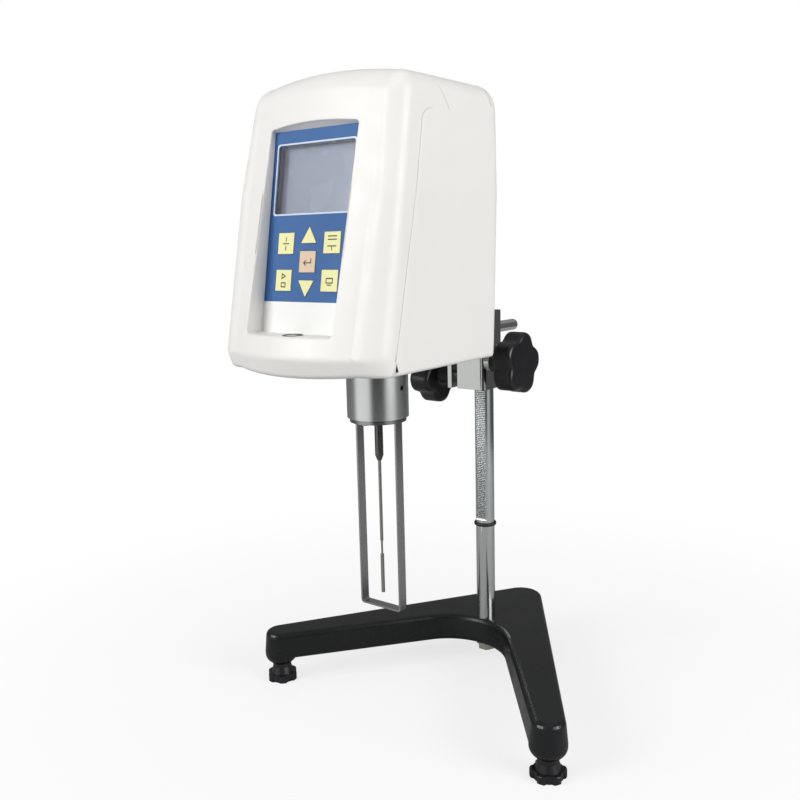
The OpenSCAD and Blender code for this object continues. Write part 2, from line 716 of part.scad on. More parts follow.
// Window outline seen from the front, grown by margin
module window_outline(margin) {
    w = window_half_w + margin;
    z0 = ledge_z - margin;
    z1 = window_top_z + window_arch + margin;
    arc_r = (window_half_w * window_half_w + window_arch * window_arch) / (2 * window_arch) + margin;
    intersection() {
        translate([0, (z0 + z1) / 2]) round_rect(2 * w, z1 - z0, window_corner_r);
        union() {
            translate([0, z1 - arc_r]) circle(arc_r, $fn = 180);
            translate([-w, z0]) square([2 * w, (z1 - z0) / 2]);
        }
    }
}

// The window outline carried back from the front, square to the front elevation
module window_prism(margin, y0, y1) translate([head_x, y1, 0]) rotate([90, 0, 0])
    linear_extrude(y1 - y0) window_outline(margin);

// Everything in front of the panel's front face
module before_panel() translate([head_x - 2 * window_half_w, 0, 0]) rotate([90, 0, 90]) linear_extrude(4 * window_half_w) {
    low_z = head_bottom_z - 40;
    high_z = head_top_z + 40;
    polygon([
        [-2 * front_forward, low_z], [panel_y(low_z), low_z],
        [panel_y(high_z), high_z], [-2 * front_forward, high_z]]);
}

module front_cover() color("#efefea") difference() {
    union() {
        difference() {
            intersection() {
                head_solid(0);
                seam_region(0);
            }
            head_solid(cover_wall);
        }
        intersection() {
            head_solid(cover_wall / 2);
            window_prism(bezel_wall, -front_reach - 5, -100);
            before_panel();
        }
    }
    window_prism(0, -front_reach - 20, -100);
    translate([head_x, level_y, ledge_z - 20]) cylinder(r = level_r + 0.1, h = 40);
}

module rear_cover() color("#ecece7") difference() {
    head_solid(0);
    head_solid(cover_wall);
    seam_region(seam_gap);
    translate([head_x, spindle_y, head_bottom_z - 5]) cylinder(r = cup_r + 0.4, h = 20);
    translate([head_x, 0, mount_z]) rod_y(mount_rod_r + 0.5, -rear_forward - 20, -rear_forward + 20);
    for (x = [-1, 1], y = cover_screw_y) translate([head_x + x * cover_screw_x, y, head_bottom_z - 5]) {
        cylinder(r = 1.6, h = 20);
        cylinder(r = cover_screw_head_r + 0.4, h = 5);
    }
    on_back(inlet_u, inlet_z) translate([0, 0, -6]) linear_extrude(12) square([inlet_w, inlet_h], center = true);
    on_back(data_u, data_z) translate([0, 0, -6]) linear_extrude(12) square([data_w, data_h], center = true);
}

// ---- rear connectors ----
rear_angle = atan(rear_lean);
inlet_u = 17;
inlet_z = 331.5;
inlet_w = 46;
inlet_h = 24;
inlet_depth = 16;
socket_u = 8.5;
rocker_u = -15;
rocker_w = 11;
rocker_h = 19;
rocker_play = 0.8;
rocker_axis = 7;
rocker_tilt = 8;
rocker_pin_r = 1.3;
data_u = -32;
data_z = 331.5;
data_w = 19.4;
data_h = 11.4;

// Puts children on the rear face: +X across, +Y up the face, +Z out of it
module on_back(u, z) translate([head_x + u, rear_y(z), z]) rotate([90 + rear_angle, 0, 180]) children();

// Rocker about its axis, with a pivot stub on each side
module rocker_blank() {
    translate([0, 0, -rocker_axis]) rod_x(rocker_pin_r, -rocker_w / 2 - 2.5, rocker_w / 2 + 2.5);
    rocker_body();
}

module rocker_body() intersection() {
    translate([0, 0, -rocker_axis]) linear_extrude(12) square([rocker_w, rocker_h], center = true);
    rotate([0, 90, 0]) translate([rocker_axis, 0, -rocker_w]) cylinder(r = 10.5, h = 2 * rocker_w);
}

// Mains inlet and the switch's well, in one moulded module
module power_inlet() color("#1a1a1a") on_back(inlet_u, inlet_z) {
    difference() {
        union() {
            translate([0, 0, 0.05]) linear_extrude(1.8) round_rect(inlet_w + 5, inlet_h + 5, 2);
            translate([0, 0, -inlet_depth]) linear_extrude(inlet_depth + 0.1)
                square([inlet_w - 0.2, inlet_h - 0.2], center = true);
        }
        translate([socket_u, 0, 2 - inlet_depth]) linear_extrude(inlet_depth + 1) round_rect(24.4, 16.6, 3);
        translate([rocker_u, 0, -9]) linear_extrude(12)
            square([rocker_w + 2 * rocker_play, rocker_h + 2 * rocker_play], center = true);
        translate([rocker_u, 0, -rocker_axis])
            rod_x(rocker_pin_r + run_fit, -rocker_w / 2 - 2.6, rocker_w / 2 + 2.6);
    }
    for (p = [[-7, -1.5], [0, 3], [7, -1.5]]) translate([socket_u + p[0], p[1], 1.9 - inlet_depth])
        linear_extrude(10) square([2, 4.5], center = true);
}

module power_rocker() color("#2a2a2a") on_back(inlet_u, inlet_z) translate([rocker_u, 0, -rocker_axis])
    rotate([-rocker_tilt, 0, 0]) translate([0, 0, rocker_axis]) rocker_blank();

module data_connector() color("#9aa0a4") on_back(data_u, data_z) {
    translate([0, 0, 0.05]) linear_extrude(1) round_rect(data_w + 11, data_h + 1.2, 1.5);
    difference() {
        translate([0, 0, -8]) linear_extrude(13) round_rect(data_w - 0.4, data_h - 0.4, 3);
        translate([0, 0, -1]) linear_extrude(7) round_rect(data_w - 1.8, data_h - 1.8, 2.4);
    }
}

// ---- level ----
level_r = 7;
level_y = -front_forward + level_r - 1.2;

module level_housing() color("#3a3a3a") translate([head_x, level_y, ledge_z]) difference() {
    translate([0, 0, -6]) cylinder(r = level_r, h = 6.4);
    translate([0, 0, -4]) cylinder(r = level_r - 1.2, h = 6);
}

module level_vial() color("#cfe3b8") translate([head_x, level_y, ledge_z - 3.95])
    cylinder(r = level_r - 1.25, h = 4);

// ---- panel ----
// Puts children on the panel: +X across, +Y up the panel, +Z out of it
module on_panel(u, z) translate([head_x + u, panel_y(z), z]) rotate([90 - panel_angle, 0, 0]) children();

function up_panel(z0, z1) = (z1 - z0) / cos(panel_angle);

key_gap = 0.25;
key_cap_t = 1.3;
column = [-key_pitch, 0, key_pitch];

module square_key_outline(grow) square(key_size + 2 * grow, center = true);

// Triangle that points up, its base at y = 0
module arrow_outline(grow) {
    half = key_size / 2 - 0.3;
    rise = 11;
    slope = sqrt(half * half + rise * rise);
    top = grow * slope / half;
    side = grow * (slope + half) / rise;
    polygon([[-half - side, -grow], [half + side, -grow], [0, rise + top]]);
}

module at_key(name) {
    z_side = [key_mid_z + key_rise, key_mid_z - key_rise];
    if (name == "enter") on_panel(0, key_mid_z) children();
    if (name == "upper_left") on_panel(column[0], z_side[0]) children();
    if (name == "upper_right") on_panel(column[2], z_side[0]) children();
    if (name == "lower_left") on_panel(column[0], z_side[1]) children();
    if (name == "lower_right") on_panel(column[2], z_side[1]) children();
    if (name == "up") on_panel(0, key_mid_z + key_rise) children();
    if (name == "down") on_panel(0, key_mid_z - key_rise) rotate(180) children();
}

square_keys = ["enter", "upper_left", "upper_right", "lower_left", "lower_right"];
arrow_keys = ["up", "down"];

module panel_plate(z0, z1) on_panel(0, z0) translate([0, 0, -panel_t]) linear_extrude(panel_t)
    translate([-panel_half_w, 0]) square([2 * panel_half_w, up_panel(z0, z1)]);

module display_hole(grow, y0, y1) on_panel(0, (display_low_z + display_high_z) / 2) translate([0, 0, y0])
    linear_extrude(y1 - y0)
    round_rect(2 * (display_half_w + grow), up_panel(display_low_z, display_high_z) + 2 * grow, 2);

module keypad_panel() color("#2f5fae") difference() {
    panel_plate(keypad_low_z, panel_high_z);
    display_hole(0, -10, 10);
    for (name = square_keys) at_key(name) translate([0, 0, -key_cap_t - key_travel])
        linear_extrude(10) square_key_outline(key_gap);
    for (name = arrow_keys) at_key(name) translate([0, 0, -key_cap_t - key_travel])
        linear_extrude(10) arrow_outline(key_gap);
}

module name_strip() color("#f2f2ef") panel_plate(ledge_z - bezel_wall, keypad_low_z - 0.05);

module key_cap(name) at_key(name) translate([0, 0, -key_cap_t + 0.1]) linear_extrude(key_cap_t + key_proud - 0.1) {
    if (name == "up" || name == "down") arrow_outline(0);
    else square_key_outline(0);
}

module key_up() color("#f3ea9a") key_cap("up");
module key_down() color("#f3ea9a") key_cap("down");
module key_enter() color("#f4c9a2") key_cap("enter");
module key_upper_left() color("#f3ea9a") key_cap("upper_left");
module key_upper_right() color("#f3ea9a") key_cap("upper_right");
module key_lower_left() color("#f3ea9a") key_cap("lower_left");
module key_lower_right() color("#f3ea9a") key_cap("lower_right");

module display_frame() color("#c8d8ee") difference() {
    display_hole(1.1, 0, 0.3);
    display_hole(0, -1, 1);
}

module display_lens() color([0.8, 0.85, 0.9, 0.4]) display_hole(-0.1, -1.2, -0.2);

module display_module() color("#9a9cac") {
    difference() {
        display_hole(3, -display_depth - display_module_t, -panel_t - 0.05);
        display_hole(-0.2, -display_depth, 1);
    }
}

module circuit_board() color("#2c6b3c") {
    board_half_w = 40;
    on_panel(0, ledge_z + 8) translate([-board_half_w, 0, -display_depth - display_module_t - 1.7])
        cube([2 * board_half_w, up_panel(ledge_z + 8, display_high_z + 3), 1.6]);
}

// ================= head frame and drive =================
cover_screw_x = 40;
cover_screw_y = [plate_front_y + 10, plate_back_y - 16];
cover_screw_head_r = 3;

module bottom_plate() color("#9b9fa2") difference() {
    union() {
        translate([head_x - plate_half_w, plate_front_y, plate_z])
            cube([2 * plate_half_w, plate_back_y - plate_front_y, plate_t]);
        translate([head_x - socket_half_w, mount_front_y - 1, plate_z])
            cube([2 * socket_half_w, plate_back_y - mount_front_y + 1, socket_top_z - plate_z]);
    }
    translate([head_x, 0, mount_z]) rod_y(mount_rod_r + run_fit, mount_front_y - 0.3, 0);
    translate([head_x, spindle_y, plate_z - 1]) cylinder(r = cup_r - cup_wall, h = 40);
    for (x = [-1, 1], y = cover_screw_y) translate([head_x + x * cover_screw_x, y, plate_z - 1])
        cylinder(r = 1.55, h = 10);
}

module cover_screws() color("#8d9094")
    for (x = [-1, 1], y = cover_screw_y) translate([head_x + x * cover_screw_x, y, 0]) {
        translate([0, 0, head_bottom_z - 1.6]) cylinder(r = cover_screw_head_r, h = 1.6);
        translate([0, 0, head_bottom_z - 1]) cylinder(r = 1.5, h = cover_wall + plate_t + 1);
    }

module frame_posts() color("#b5b8bb")
    for (x = [-1, 1], y = [plate_front_y + 6, plate_back_y - 6])
        translate([head_x + x * post_x, y, plate_z + plate_t]) cylinder(r = post_r, h = deck_z - plate_z - plate_t);

module top_plate() color("#9b9fa2") difference() {
    translate([head_x - plate_half_w, plate_front_y, deck_z])
        cube([2 * plate_half_w, plate_back_y - plate_front_y, deck_t]);
    translate([head_x, spindle_y, deck_z - 1]) cylinder(r = drive_shaft_r + run_fit, h = deck_t + 2);
    translate([head_x + motor_x, motor_y, deck_z - 1]) cylinder(r = 6, h = deck_t + 2);
}

module motor() color("#3f4246") translate([head_x + motor_x, motor_y, 0]) difference() {
    translate([0, 0, deck_z - motor_h]) cylinder(r = motor_r, h = motor_h);
    translate([0, 0, deck_z - 20]) cylinder(r = 2 + run_fit, h = 30);
}

module motor_pinion() color("#c9a95a") translate([head_x + motor_x, motor_y, 0]) {
    translate([0, 0, deck_z - 19]) cylinder(r = 2, h = gear_z + gear_t - deck_z + 19);
    translate([0, 0, gear_z]) rotate(180 + motor_angle + 180 / motor_teeth) linear_extrude(gear_t)
        gear_outline(gear_module, motor_teeth, gear_pressure_angle, gear_module * 0.9, gear_module * 1.15, 0.2);
}

module drive_gear() color("#c9a95a") translate([head_x, spindle_y, gear_z]) difference() {
    rotate(motor_angle) linear_extrude(gear_t)
        gear_outline(gear_module, gear_teeth, gear_pressure_angle, gear_module * 0.9, gear_module * 1.15, 0.2);
    translate([0, 0, -1]) cylinder(r = drive_shaft_r, h = gear_t + 2);
}

module drive_shaft() color("#b5b8bb") translate([head_x, spindle_y, 0]) difference() {
    union() {
        translate([0, 0, drive_shaft_z]) cylinder(r = drive_shaft_r, h = gear_z + gear_t - drive_shaft_z);
        translate([0, 0, drive_shaft_z - 1]) cylinder(r = carrier_r, h = 2);
        translate([carrier_r - 1.6, 0, spring_z]) cylinder(r = 1.2, h = drive_shaft_z - spring_z);
    }
    translate([0, 0, spring_z - 1]) cylinder(r = spring_end_r + 0.02, h = drive_shaft_z - spring_z);
    translate([0, 0, drive_shaft_z - 3]) cylinder(r = pivot_r + run_fit, h = pivot_top_z - drive_shaft_z + 4);
}

// Flat spiral spring from the pivot shaft out to the drive shaft's post
module torque_spring() color("#5b6fa0") translate([head_x, spindle_y, spring_z]) {
    step = 12;
    sweep = 360 * spring_turns;
    outer_r = function (a) spring_r0 + spring_pitch * a / 360;
    linear_extrude(spring_h - 0.2) {
        polygon(concat(
            [for (a = [0:step:sweep]) (outer_r(a) - spring_t / 2) * [cos(a), sin(a)]],
            [for (a = [sweep:-step:0]) (outer_r(a) + spring_t / 2) * [cos(a), sin(a)]]));
    }
}

module torque_sensor() color("#26282b") translate([head_x - disc_r - 4, spindle_y, 0]) difference() {
    translate([-5, -5, plate_z + plate_t]) cube([10, 10, disc_z + disc_t + 5 - plate_z - plate_t]);
    translate([-2, -6, disc_z - 0.8]) cube([10, 12, disc_t + 1.6]);
}

module encoder_disc() color("#d9dadb") translate([head_x, spindle_y, disc_z]) difference() {
    cylinder(r = disc_r, h = disc_t);
    translate([0, 0, -1]) cylinder(r = pivot_r, h = disc_t + 2);
}

module pivot_shaft() color("#c4c7ca") translate([head_x, spindle_y, coupling_z + 15])
    cylinder(r = pivot_r, h = pivot_top_z - coupling_z - 15);

module jewel_bearing() color("#8e2f3a") translate([head_x, spindle_y, cup_bottom_z]) difference() {
    cylinder(r = bearing_r, h = bearing_h);
    translate([0, 0, -1]) cylinder(r = pivot_r + run_fit, h = bearing_h + 2);
}

// ================= cup, guard and spindle =================

module pivot_cup() color("#b9bcbe") translate([head_x, spindle_y, 0]) difference() {
    translate([0, 0, cup_bottom_z]) cylinder(r = cup_r, h = cup_top_z - cup_bottom_z);
    translate([0, 0, cup_bottom_z + cup_wall]) cylinder(r = cup_r - cup_wall, h = 60);
    translate([0, 0, cup_bottom_z - 1]) cylinder(r = bearing_r, h = 10);
    translate([0, 0, cup_bottom_z + 23]) rod_x(2, -cup_r - 1, cup_r + 1);
    for (y = [-1, 1]) translate([0, y * 15, cup_bottom_z - 1]) cylinder(r = 1.55, h = 10);
}

module guard_ring() color("#a7abae") translate([head_x, spindle_y, cup_bottom_z - guard_ring_h]) difference() {
    cylinder(r = guard_ring_r, h = guard_ring_h - 0.05);
    translate([0, 0, -1]) cylinder(r = 8, h = guard_ring_h + 2);
    for (x = [-1, 1]) translate([x * (guard_half_w - guard_strip_t / 2), 0, guard_ring_h / 2])
        cube([guard_strip_t + 0.1, guard_strip_w + 0.1, guard_ring_h + 2], center = true);
    for (y = [-1, 1]) translate([0, y * 15, -1]) cylinder(r = 1.6, h = 10);
}

module guard_leg() color("#8f9496") translate([head_x, spindle_y + guard_strip_w / 2, 0]) rotate([90, 0, 0])
    linear_extrude(guard_strip_w) {
        bend_r = 3;
        top = cup_bottom_z - 0.1;
        inner_w = guard_half_w - guard_strip_t;
        difference() {
            union() {
                translate([-guard_half_w, guard_bottom_z + bend_r]) square([2 * guard_half_w, top - guard_bottom_z - bend_r]);
                translate([-guard_half_w + bend_r, guard_bottom_z]) square([2 * (guard_half_w - bend_r), bend_r + 1]);
                for (x = [-1, 1]) translate([x * (guard_half_w - bend_r), guard_bottom_z + bend_r]) circle(bend_r);
            }
            translate([-inner_w, guard_bottom_z + bend_r]) square([2 * inner_w, top]);
            translate([-guard_half_w + bend_r, guard_bottom_z + guard_strip_t]) square([2 * (guard_half_w - bend_r), bend_r]);
            for (x = [-1, 1]) translate([x * (guard_half_w - bend_r), guard_bottom_z + bend_r]) circle(bend_r - guard_strip_t);
        }
    }

module guard_screws() color("#8d9094") translate([head_x, spindle_y, 0]) for (y = [-1, 1]) translate([0, y * 15, 0]) {
    translate([0, 0, cup_bottom_z - guard_ring_h - 1.5]) cylinder(r = 2.8, h = 1.5);
    translate([0, 0, cup_bottom_z - guard_ring_h - 1]) cylinder(r = 1.5, h = guard_ring_h + 4);
}

module spindle_coupling() color("#a5a29b") translate([head_x, spindle_y, coupling_z]) difference() {
    taper_l = 4;
    union() {
        cylinder(r1 = spindle_shaft_d / 2 + 0.5, r2 = coupling_d / 2, h = taper_l);
        translate([0, 0, taper_l - eps])
            cylinder(r = coupling_d / 2, h = cup_bottom_z - guard_ring_h - coupling_z - 2 - taper_l);
    }
    translate([0, 0, 15]) cylinder(r = pivot_r, h = 30);
    translate([0, 0, -1]) cylinder(r = spindle_shaft_d / 2, h = 9);
}

module spindle() color("#8c8b88") translate([head_x, spindle_y, spindle_tip_z]) {
    shaft_z = bob_l + neck_l;
    cylinder(r = bob_d / 2, h = bob_l);
    translate([0, 0, bob_l - 1]) cylinder(r = neck_d / 2, h = neck_l + 2);
    translate([0, 0, shaft_z]) cylinder(r = spindle_shaft_d / 2, h = coupling_z + 8 - spindle_tip_z - shaft_z);
}

// ================= all nodes =================
placed() {
    base_casting();
    upright_rod();
    rod_bolt();
    rod_washer();
    stop_ring();
    rear_foot();
    left_foot_collar();
    left_foot_stud();
    left_foot_knob();
    right_foot_collar();
    right_foot_stud();
    right_foot_knob();
    clamp_block();
    pinion_bushing();
    tension_insert();
    tension_screw();
    pinion_shaft();
    height_knob();
    lock_screw();
    lock_knob();
    mounting_rod();
    front_cover();
    rear_cover();
    bottom_plate();
    cover_screws();
    keypad_panel();
    name_strip();
    display_frame();
    display_lens();
    display_module();
    level_housing();
    level_vial();
    pivot_cup();
    guard_ring();
    guard_leg();
    guard_screws();
    jewel_bearing();
    top_plate();
    frame_posts();
    motor();
    torque_sensor();
    circuit_board();
    power_inlet();
    data_connector();
    power_rocker();
    key_up();
    key_down();
    key_enter();
    key_upper_left();
    key_upper_right();
    key_lower_left();
    key_lower_right();
    drive_shaft();
    drive_gear();
    torque_spring();
    motor_pinion();
    pivot_shaft();
    encoder_disc();
    spindle_coupling();
    spindle();
}
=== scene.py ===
"""Rotational viscometer on a rack stand: looks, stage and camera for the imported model."""

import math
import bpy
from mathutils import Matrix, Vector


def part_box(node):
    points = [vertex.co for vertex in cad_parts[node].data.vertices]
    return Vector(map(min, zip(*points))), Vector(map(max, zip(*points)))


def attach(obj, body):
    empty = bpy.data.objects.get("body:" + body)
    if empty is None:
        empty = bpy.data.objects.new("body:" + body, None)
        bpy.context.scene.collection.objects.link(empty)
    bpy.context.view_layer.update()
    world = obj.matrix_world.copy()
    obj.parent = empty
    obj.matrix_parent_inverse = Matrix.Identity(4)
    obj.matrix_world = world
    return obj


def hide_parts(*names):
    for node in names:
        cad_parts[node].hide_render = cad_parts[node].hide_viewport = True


bl_info = {
    "name": "Rotational viscometer",
    "version": (1, 0, 0),
    "blender": (4, 5, 0),
    "location": "3D View > Sidebar > Viscometer",
    "description": "Dresses a bench viscometer: moulded head, keypad, cast base, knobs, rods and measuring parts",
    "category": "Object",
}

from types import SimpleNamespace

import bpy
import numpy as np
from bpy.props import FloatProperty, FloatVectorProperty
from mathutils import Matrix, Vector

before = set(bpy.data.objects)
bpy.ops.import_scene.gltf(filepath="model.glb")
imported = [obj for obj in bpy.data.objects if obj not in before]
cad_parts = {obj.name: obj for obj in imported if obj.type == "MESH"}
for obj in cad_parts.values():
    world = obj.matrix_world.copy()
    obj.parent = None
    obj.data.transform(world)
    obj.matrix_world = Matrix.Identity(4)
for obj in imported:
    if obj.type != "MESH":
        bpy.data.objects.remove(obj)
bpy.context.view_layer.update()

MM = 0.001


def middle(node, axis):
    """Middle of a part's box along one axis, in metres"""
    low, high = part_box(node)
    return (low[axis] + high[axis]) / 2


# Depth of the upright rod's axis in mm. Surfaces below are worked out in mm about that axis
ROD_Y = middle("upright_rod", 1) / MM
# Side place of the head's middle in mm, on the spindle's axis
HEAD_X = middle("spindle", 0) / MM
# Height of the stop ring in mm, and in metres that of the milled flat's lower end above it
RING_Z = middle("stop_ring", 2) / MM
RACK_LOW = middle("stop_ring", 2) + 4 * MM


# ---------------------------------------------------------------- values

class HeadSizes(bpy.types.PropertyGroup):
    """Sizes of the head's moulded covers"""

    half_low: FloatProperty(
        name="Half width, low", description="Half width at the lower edge",
        default=0.074, min=0.060, max=0.090, subtype="DISTANCE", unit="LENGTH")
    half_mid: FloatProperty(
        name="Half width, middle", description="Half width two thirds up",
        default=0.073, min=0.060, max=0.090, subtype="DISTANCE", unit="LENGTH")
    half_top: FloatProperty(
        name="Half width, top", description="Half width below the roof",
        default=0.0695, min=0.055, max=0.090, subtype="DISTANCE", unit="LENGTH")
    low_z: FloatProperty(
        name="Lower face", description="Height of the lower face",
        default=0.2858, min=0.275, max=0.295, subtype="DISTANCE", unit="LENGTH")
    top_z: FloatProperty(
        name="Roof", description="Height of the roof along its edges",
        default=0.4818, min=0.465, max=0.495, subtype="DISTANCE", unit="LENGTH")
    lip_z: FloatProperty(
        name="Lip", description="Height of the crease in the lower lip",
        default=0.2975, min=0.290, max=0.305, subtype="DISTANCE", unit="LENGTH")
    seam_gap: FloatProperty(
        name="Joint line", description="Gap between the two covers",
        default=0.0003, min=0.0001, max=0.0015, subtype="DISTANCE", unit="LENGTH", precision=4)
    window_half: FloatProperty(
        name="Window half width", description="Half width of the window",
        default=0.0394, min=0.030, max=0.050, subtype="DISTANCE", unit="LENGTH")


class Finishes(bpy.types.PropertyGroup):
    """Colours of the visible materials"""

    housing: FloatVectorProperty(
        name="Housing", description="Moulded covers",
        subtype="COLOR", default=(0.86, 0.845, 0.82), min=0.0, max=1.0)
    keypad: FloatVectorProperty(
        name="Keypad", description="Blue overlay",
        subtype="COLOR", default=(0.04, 0.135, 0.37), min=0.0, max=1.0)
    keys: FloatVectorProperty(
        name="Keys", description="Pale yellow keys",
        subtype="COLOR", default=(0.86, 0.84, 0.40), min=0.0, max=1.0)
    enter: FloatVectorProperty(
        name="Middle key", description="Peach key",
        subtype="COLOR", default=(0.74, 0.56, 0.38), min=0.0, max=1.0)
    enamel: FloatVectorProperty(
        name="Casting", description="Black enamel of the base",
        subtype="COLOR", default=(0.0055, 0.006, 0.0065), min=0.0, max=1.0)


def sizes():
    """The head's sizes in millimetres, in single precision as Blender keeps them"""
    group = bpy.context.scene.viscometer_head
    return SimpleNamespace(**{
        key: float(np.float32(round(getattr(group, key) / MM, 4))) for key in HeadSizes.__annotations__})


def finish_colour(name):
    return tuple(getattr(bpy.context.scene.viscometer_finish, name))


# ---------------------------------------------------------------- materials

class Shader:
    """Small helper that lays out one material's nodes"""

    def __init__(self, name):
        self.mat = bpy.data.materials.new(name)
        self.mat.use_nodes = True
        self.tree = self.mat.node_tree
        self.nodes = self.tree.nodes
        self.links = self.tree.links
        self.bsdf = self.nodes["Principled BSDF"]
        self.coords = self.nodes.new("ShaderNodeTexCoord")

    def add(self, kind, **values):
        node = self.nodes.new(kind)
        for key, value in values.items():
            setattr(node, key, value)
        return node

    def link(self, a, b):
        self.links.new(a, b)

    def put(self, **values):
        for key, value in values.items():
            socket = self.bsdf.inputs[key.replace("_", " ")]
            socket.default_value = value

    def place(self):
        """The object's own X, Y and Z"""
        node = self.add("ShaderNodeSeparateXYZ")
        self.link(self.coords.outputs["Object"], node.inputs[0])
        return node.outputs

    def times(self, a, b):
        node = self.add("ShaderNodeMath", operation="MULTIPLY")
        self.link(a, node.inputs[0])
        self.link(b, node.inputs[1])
        return node.outputs[0]

    def scaled(self, scale):
        node = self.add("ShaderNodeMapping")
        node.inputs["Scale"].default_value = scale
        self.link(self.coords.outputs["Object"], node.inputs["Vector"])
        return node.outputs["Vector"]

    def noise(self, scale, detail=3.0, roughness=0.5, stretch=(1, 1, 1)):
        node = self.add("ShaderNodeTexNoise")
        node.inputs["Scale"].default_value = scale
        node.inputs["Detail"].default_value = detail
        node.inputs["Roughness"].default_value = roughness
        self.link(self.scaled(stretch), node.inputs["Vector"])
        return node.outputs["Fac"]

    def spread(self, fac, low, high, start=0.3, end=0.7):
        """Maps start..end of a value onto low..high"""
        node = self.add("ShaderNodeMapRange")
        node.inputs["From Min"].default_value = start
        node.inputs["From Max"].default_value = end
        node.inputs["To Min"].default_value = low
        node.inputs["To Max"].default_value = high
        self.link(fac, node.inputs["Value"])
        return node.outputs["Result"]

    def mix(self, fac, a, b):
        node = self.add("ShaderNodeMix", data_type="RGBA")
        self.link(fac, node.inputs["Factor"])
        node.inputs["A"].default_value = (*a, 1)
        node.inputs["B"].default_value = (*b, 1)
        return node.outputs["Result"]

    def drift(self, colour, share, scale, detail):
        """Base colour that wanders between a colour and a share of it"""
        fac = self.spread(self.noise(scale, detail), 0, 1)
        tone = self.mix(fac, colour, tuple(c * share for c in colour))
        self.link(tone, self.bsdf.inputs["Base Color"])

    def gloss(self, fac, low, high):
        """Roughness that wanders from low to high"""
        self.link(self.spread(fac, low, high), self.bsdf.inputs["Roughness"])

    def bump(self, height, strength, distance):
        node = self.add("ShaderNodeBump")
        node.inputs["Strength"].default_value = strength
        node.inputs["Distance"].default_value = distance
        self.link(height, node.inputs["Height"])
        self.link(node.outputs["Normal"], self.bsdf.inputs["Normal"])


def moulded(name, colour, rough=0.4, grain=0.03, share=0.94, ior=1.5):
    """Moulded plastic: a slight tone drift, fine surface grain and uneven gloss"""
    s = Shader(name)
    s.drift(colour, share, scale=9.0, detail=2.0)
    s.gloss(s.noise(scale=60.0), rough - 0.05, rough + 0.06)
    s.put(IOR=ior)
    s.bump(s.noise(scale=2600.0, detail=2.0), strength=grain, distance=0.0002)
    return s.mat


def metal(name, colour, rough=0.3, stretch=(1, 1, 1), scale=900.0, bump=0.06, spread=0.05, share=0.9):
    """Worked metal: stretched marks from the tool or the mill, and a slight tone drift"""
    s = Shader(name)
    s.put(Metallic=1.0)
    s.drift(colour, share, scale=14.0, detail=3.0)
    marks = s.noise(scale, detail=3.0, roughness=0.6, stretch=stretch)
    s.gloss(marks, rough - spread, rough + spread)
    s.bump(marks, strength=bump, distance=0.0001)
    return s.mat


# Milled flat of the rod, in mm: depths before the axis between which the ground finish ends, and the
# heights about its lower end between which the flat's finish and its painted shade of the teeth start. Then the
# roughness that it adds
FLAT_FRONT, FLAT_START, FLAT_ROUGH = (6.75, 6.6), (-1.0, 0.5), 0.12


def ground_rod(name, colour, cut):
    """Ground and polished bar whose milled front, where the teeth are, is rougher and darkened by painted shade
    of the teeth
    """
    s = Shader(name)
    s.put(Metallic=1.0)
    place = s.place()
    milled = s.spread(place["Y"], 1, 0, *((ROD_Y - v) * MM for v in FLAT_FRONT))
    above = s.spread(place["Z"], 0, 1, *(RACK_LOW + v * MM for v in FLAT_START))
    flat = s.times(milled, above)
    # The second colour, cut, is painted shade of the fine teeth over the milled flat; the added roughness below
    # is the flat's own finish
    s.link(s.mix(flat, colour, cut), s.bsdf.inputs["Base Color"])
    marks = s.noise(scale=1200.0, detail=3.0, roughness=0.6, stretch=(1, 1, 0.02))
    rough = s.add("ShaderNodeMath", operation="MULTIPLY_ADD")
    s.link(flat, rough.inputs[0])
    rough.inputs[1].default_value = FLAT_ROUGH
    s.link(s.spread(marks, 0.12, 0.18), rough.inputs[2])
    s.link(rough.outputs[0], s.bsdf.inputs["Roughness"])
    s.bump(marks, strength=0.012, distance=0.0001)
    return s.mat


def enamel(name, colour):
    """Enamel on a casting: dark body, orange-peel bump and small gloss changes"""
    s = Shader(name)
    s.drift(colour, 1.6, scale=7.0, detail=3.0)
    s.gloss(s.noise(scale=35.0), 0.20, 0.32)
    s.put(IOR=1.42)
    s.bump(s.noise(scale=420.0, detail=2.0), strength=0.10, distance=0.0004)
    return s.mat


def clear(name, tint, rough=0.03):
    """Clear glossy sheet"""
    s = Shader(name)
    s.put(Base_Color=(*tint, 1), Transmission_Weight=1.0, IOR=1.45)
    s.gloss(s.noise(scale=25.0), rough, rough + 0.03)
    return s.mat


# Display, in mm from the left and the top of the line round it: painted shade of the gap along the left, then
# painted shade of the recess along the left and the top
LCD_GAP_SHADE, LCD_RECESS_SHADE_LEFT, LCD_RECESS_SHADE_TOP = (1.0, 1.5), (5.6, 6.6), (4.4, 3.4)
# How dark the painted shade of the recess goes, and the colour of the painted shade in the gap
LCD_RECESS_SHADE_SHARE, LCD_GAP_SHADE_COLOUR = 0.74, (0.10, 0.12, 0.11, 1)


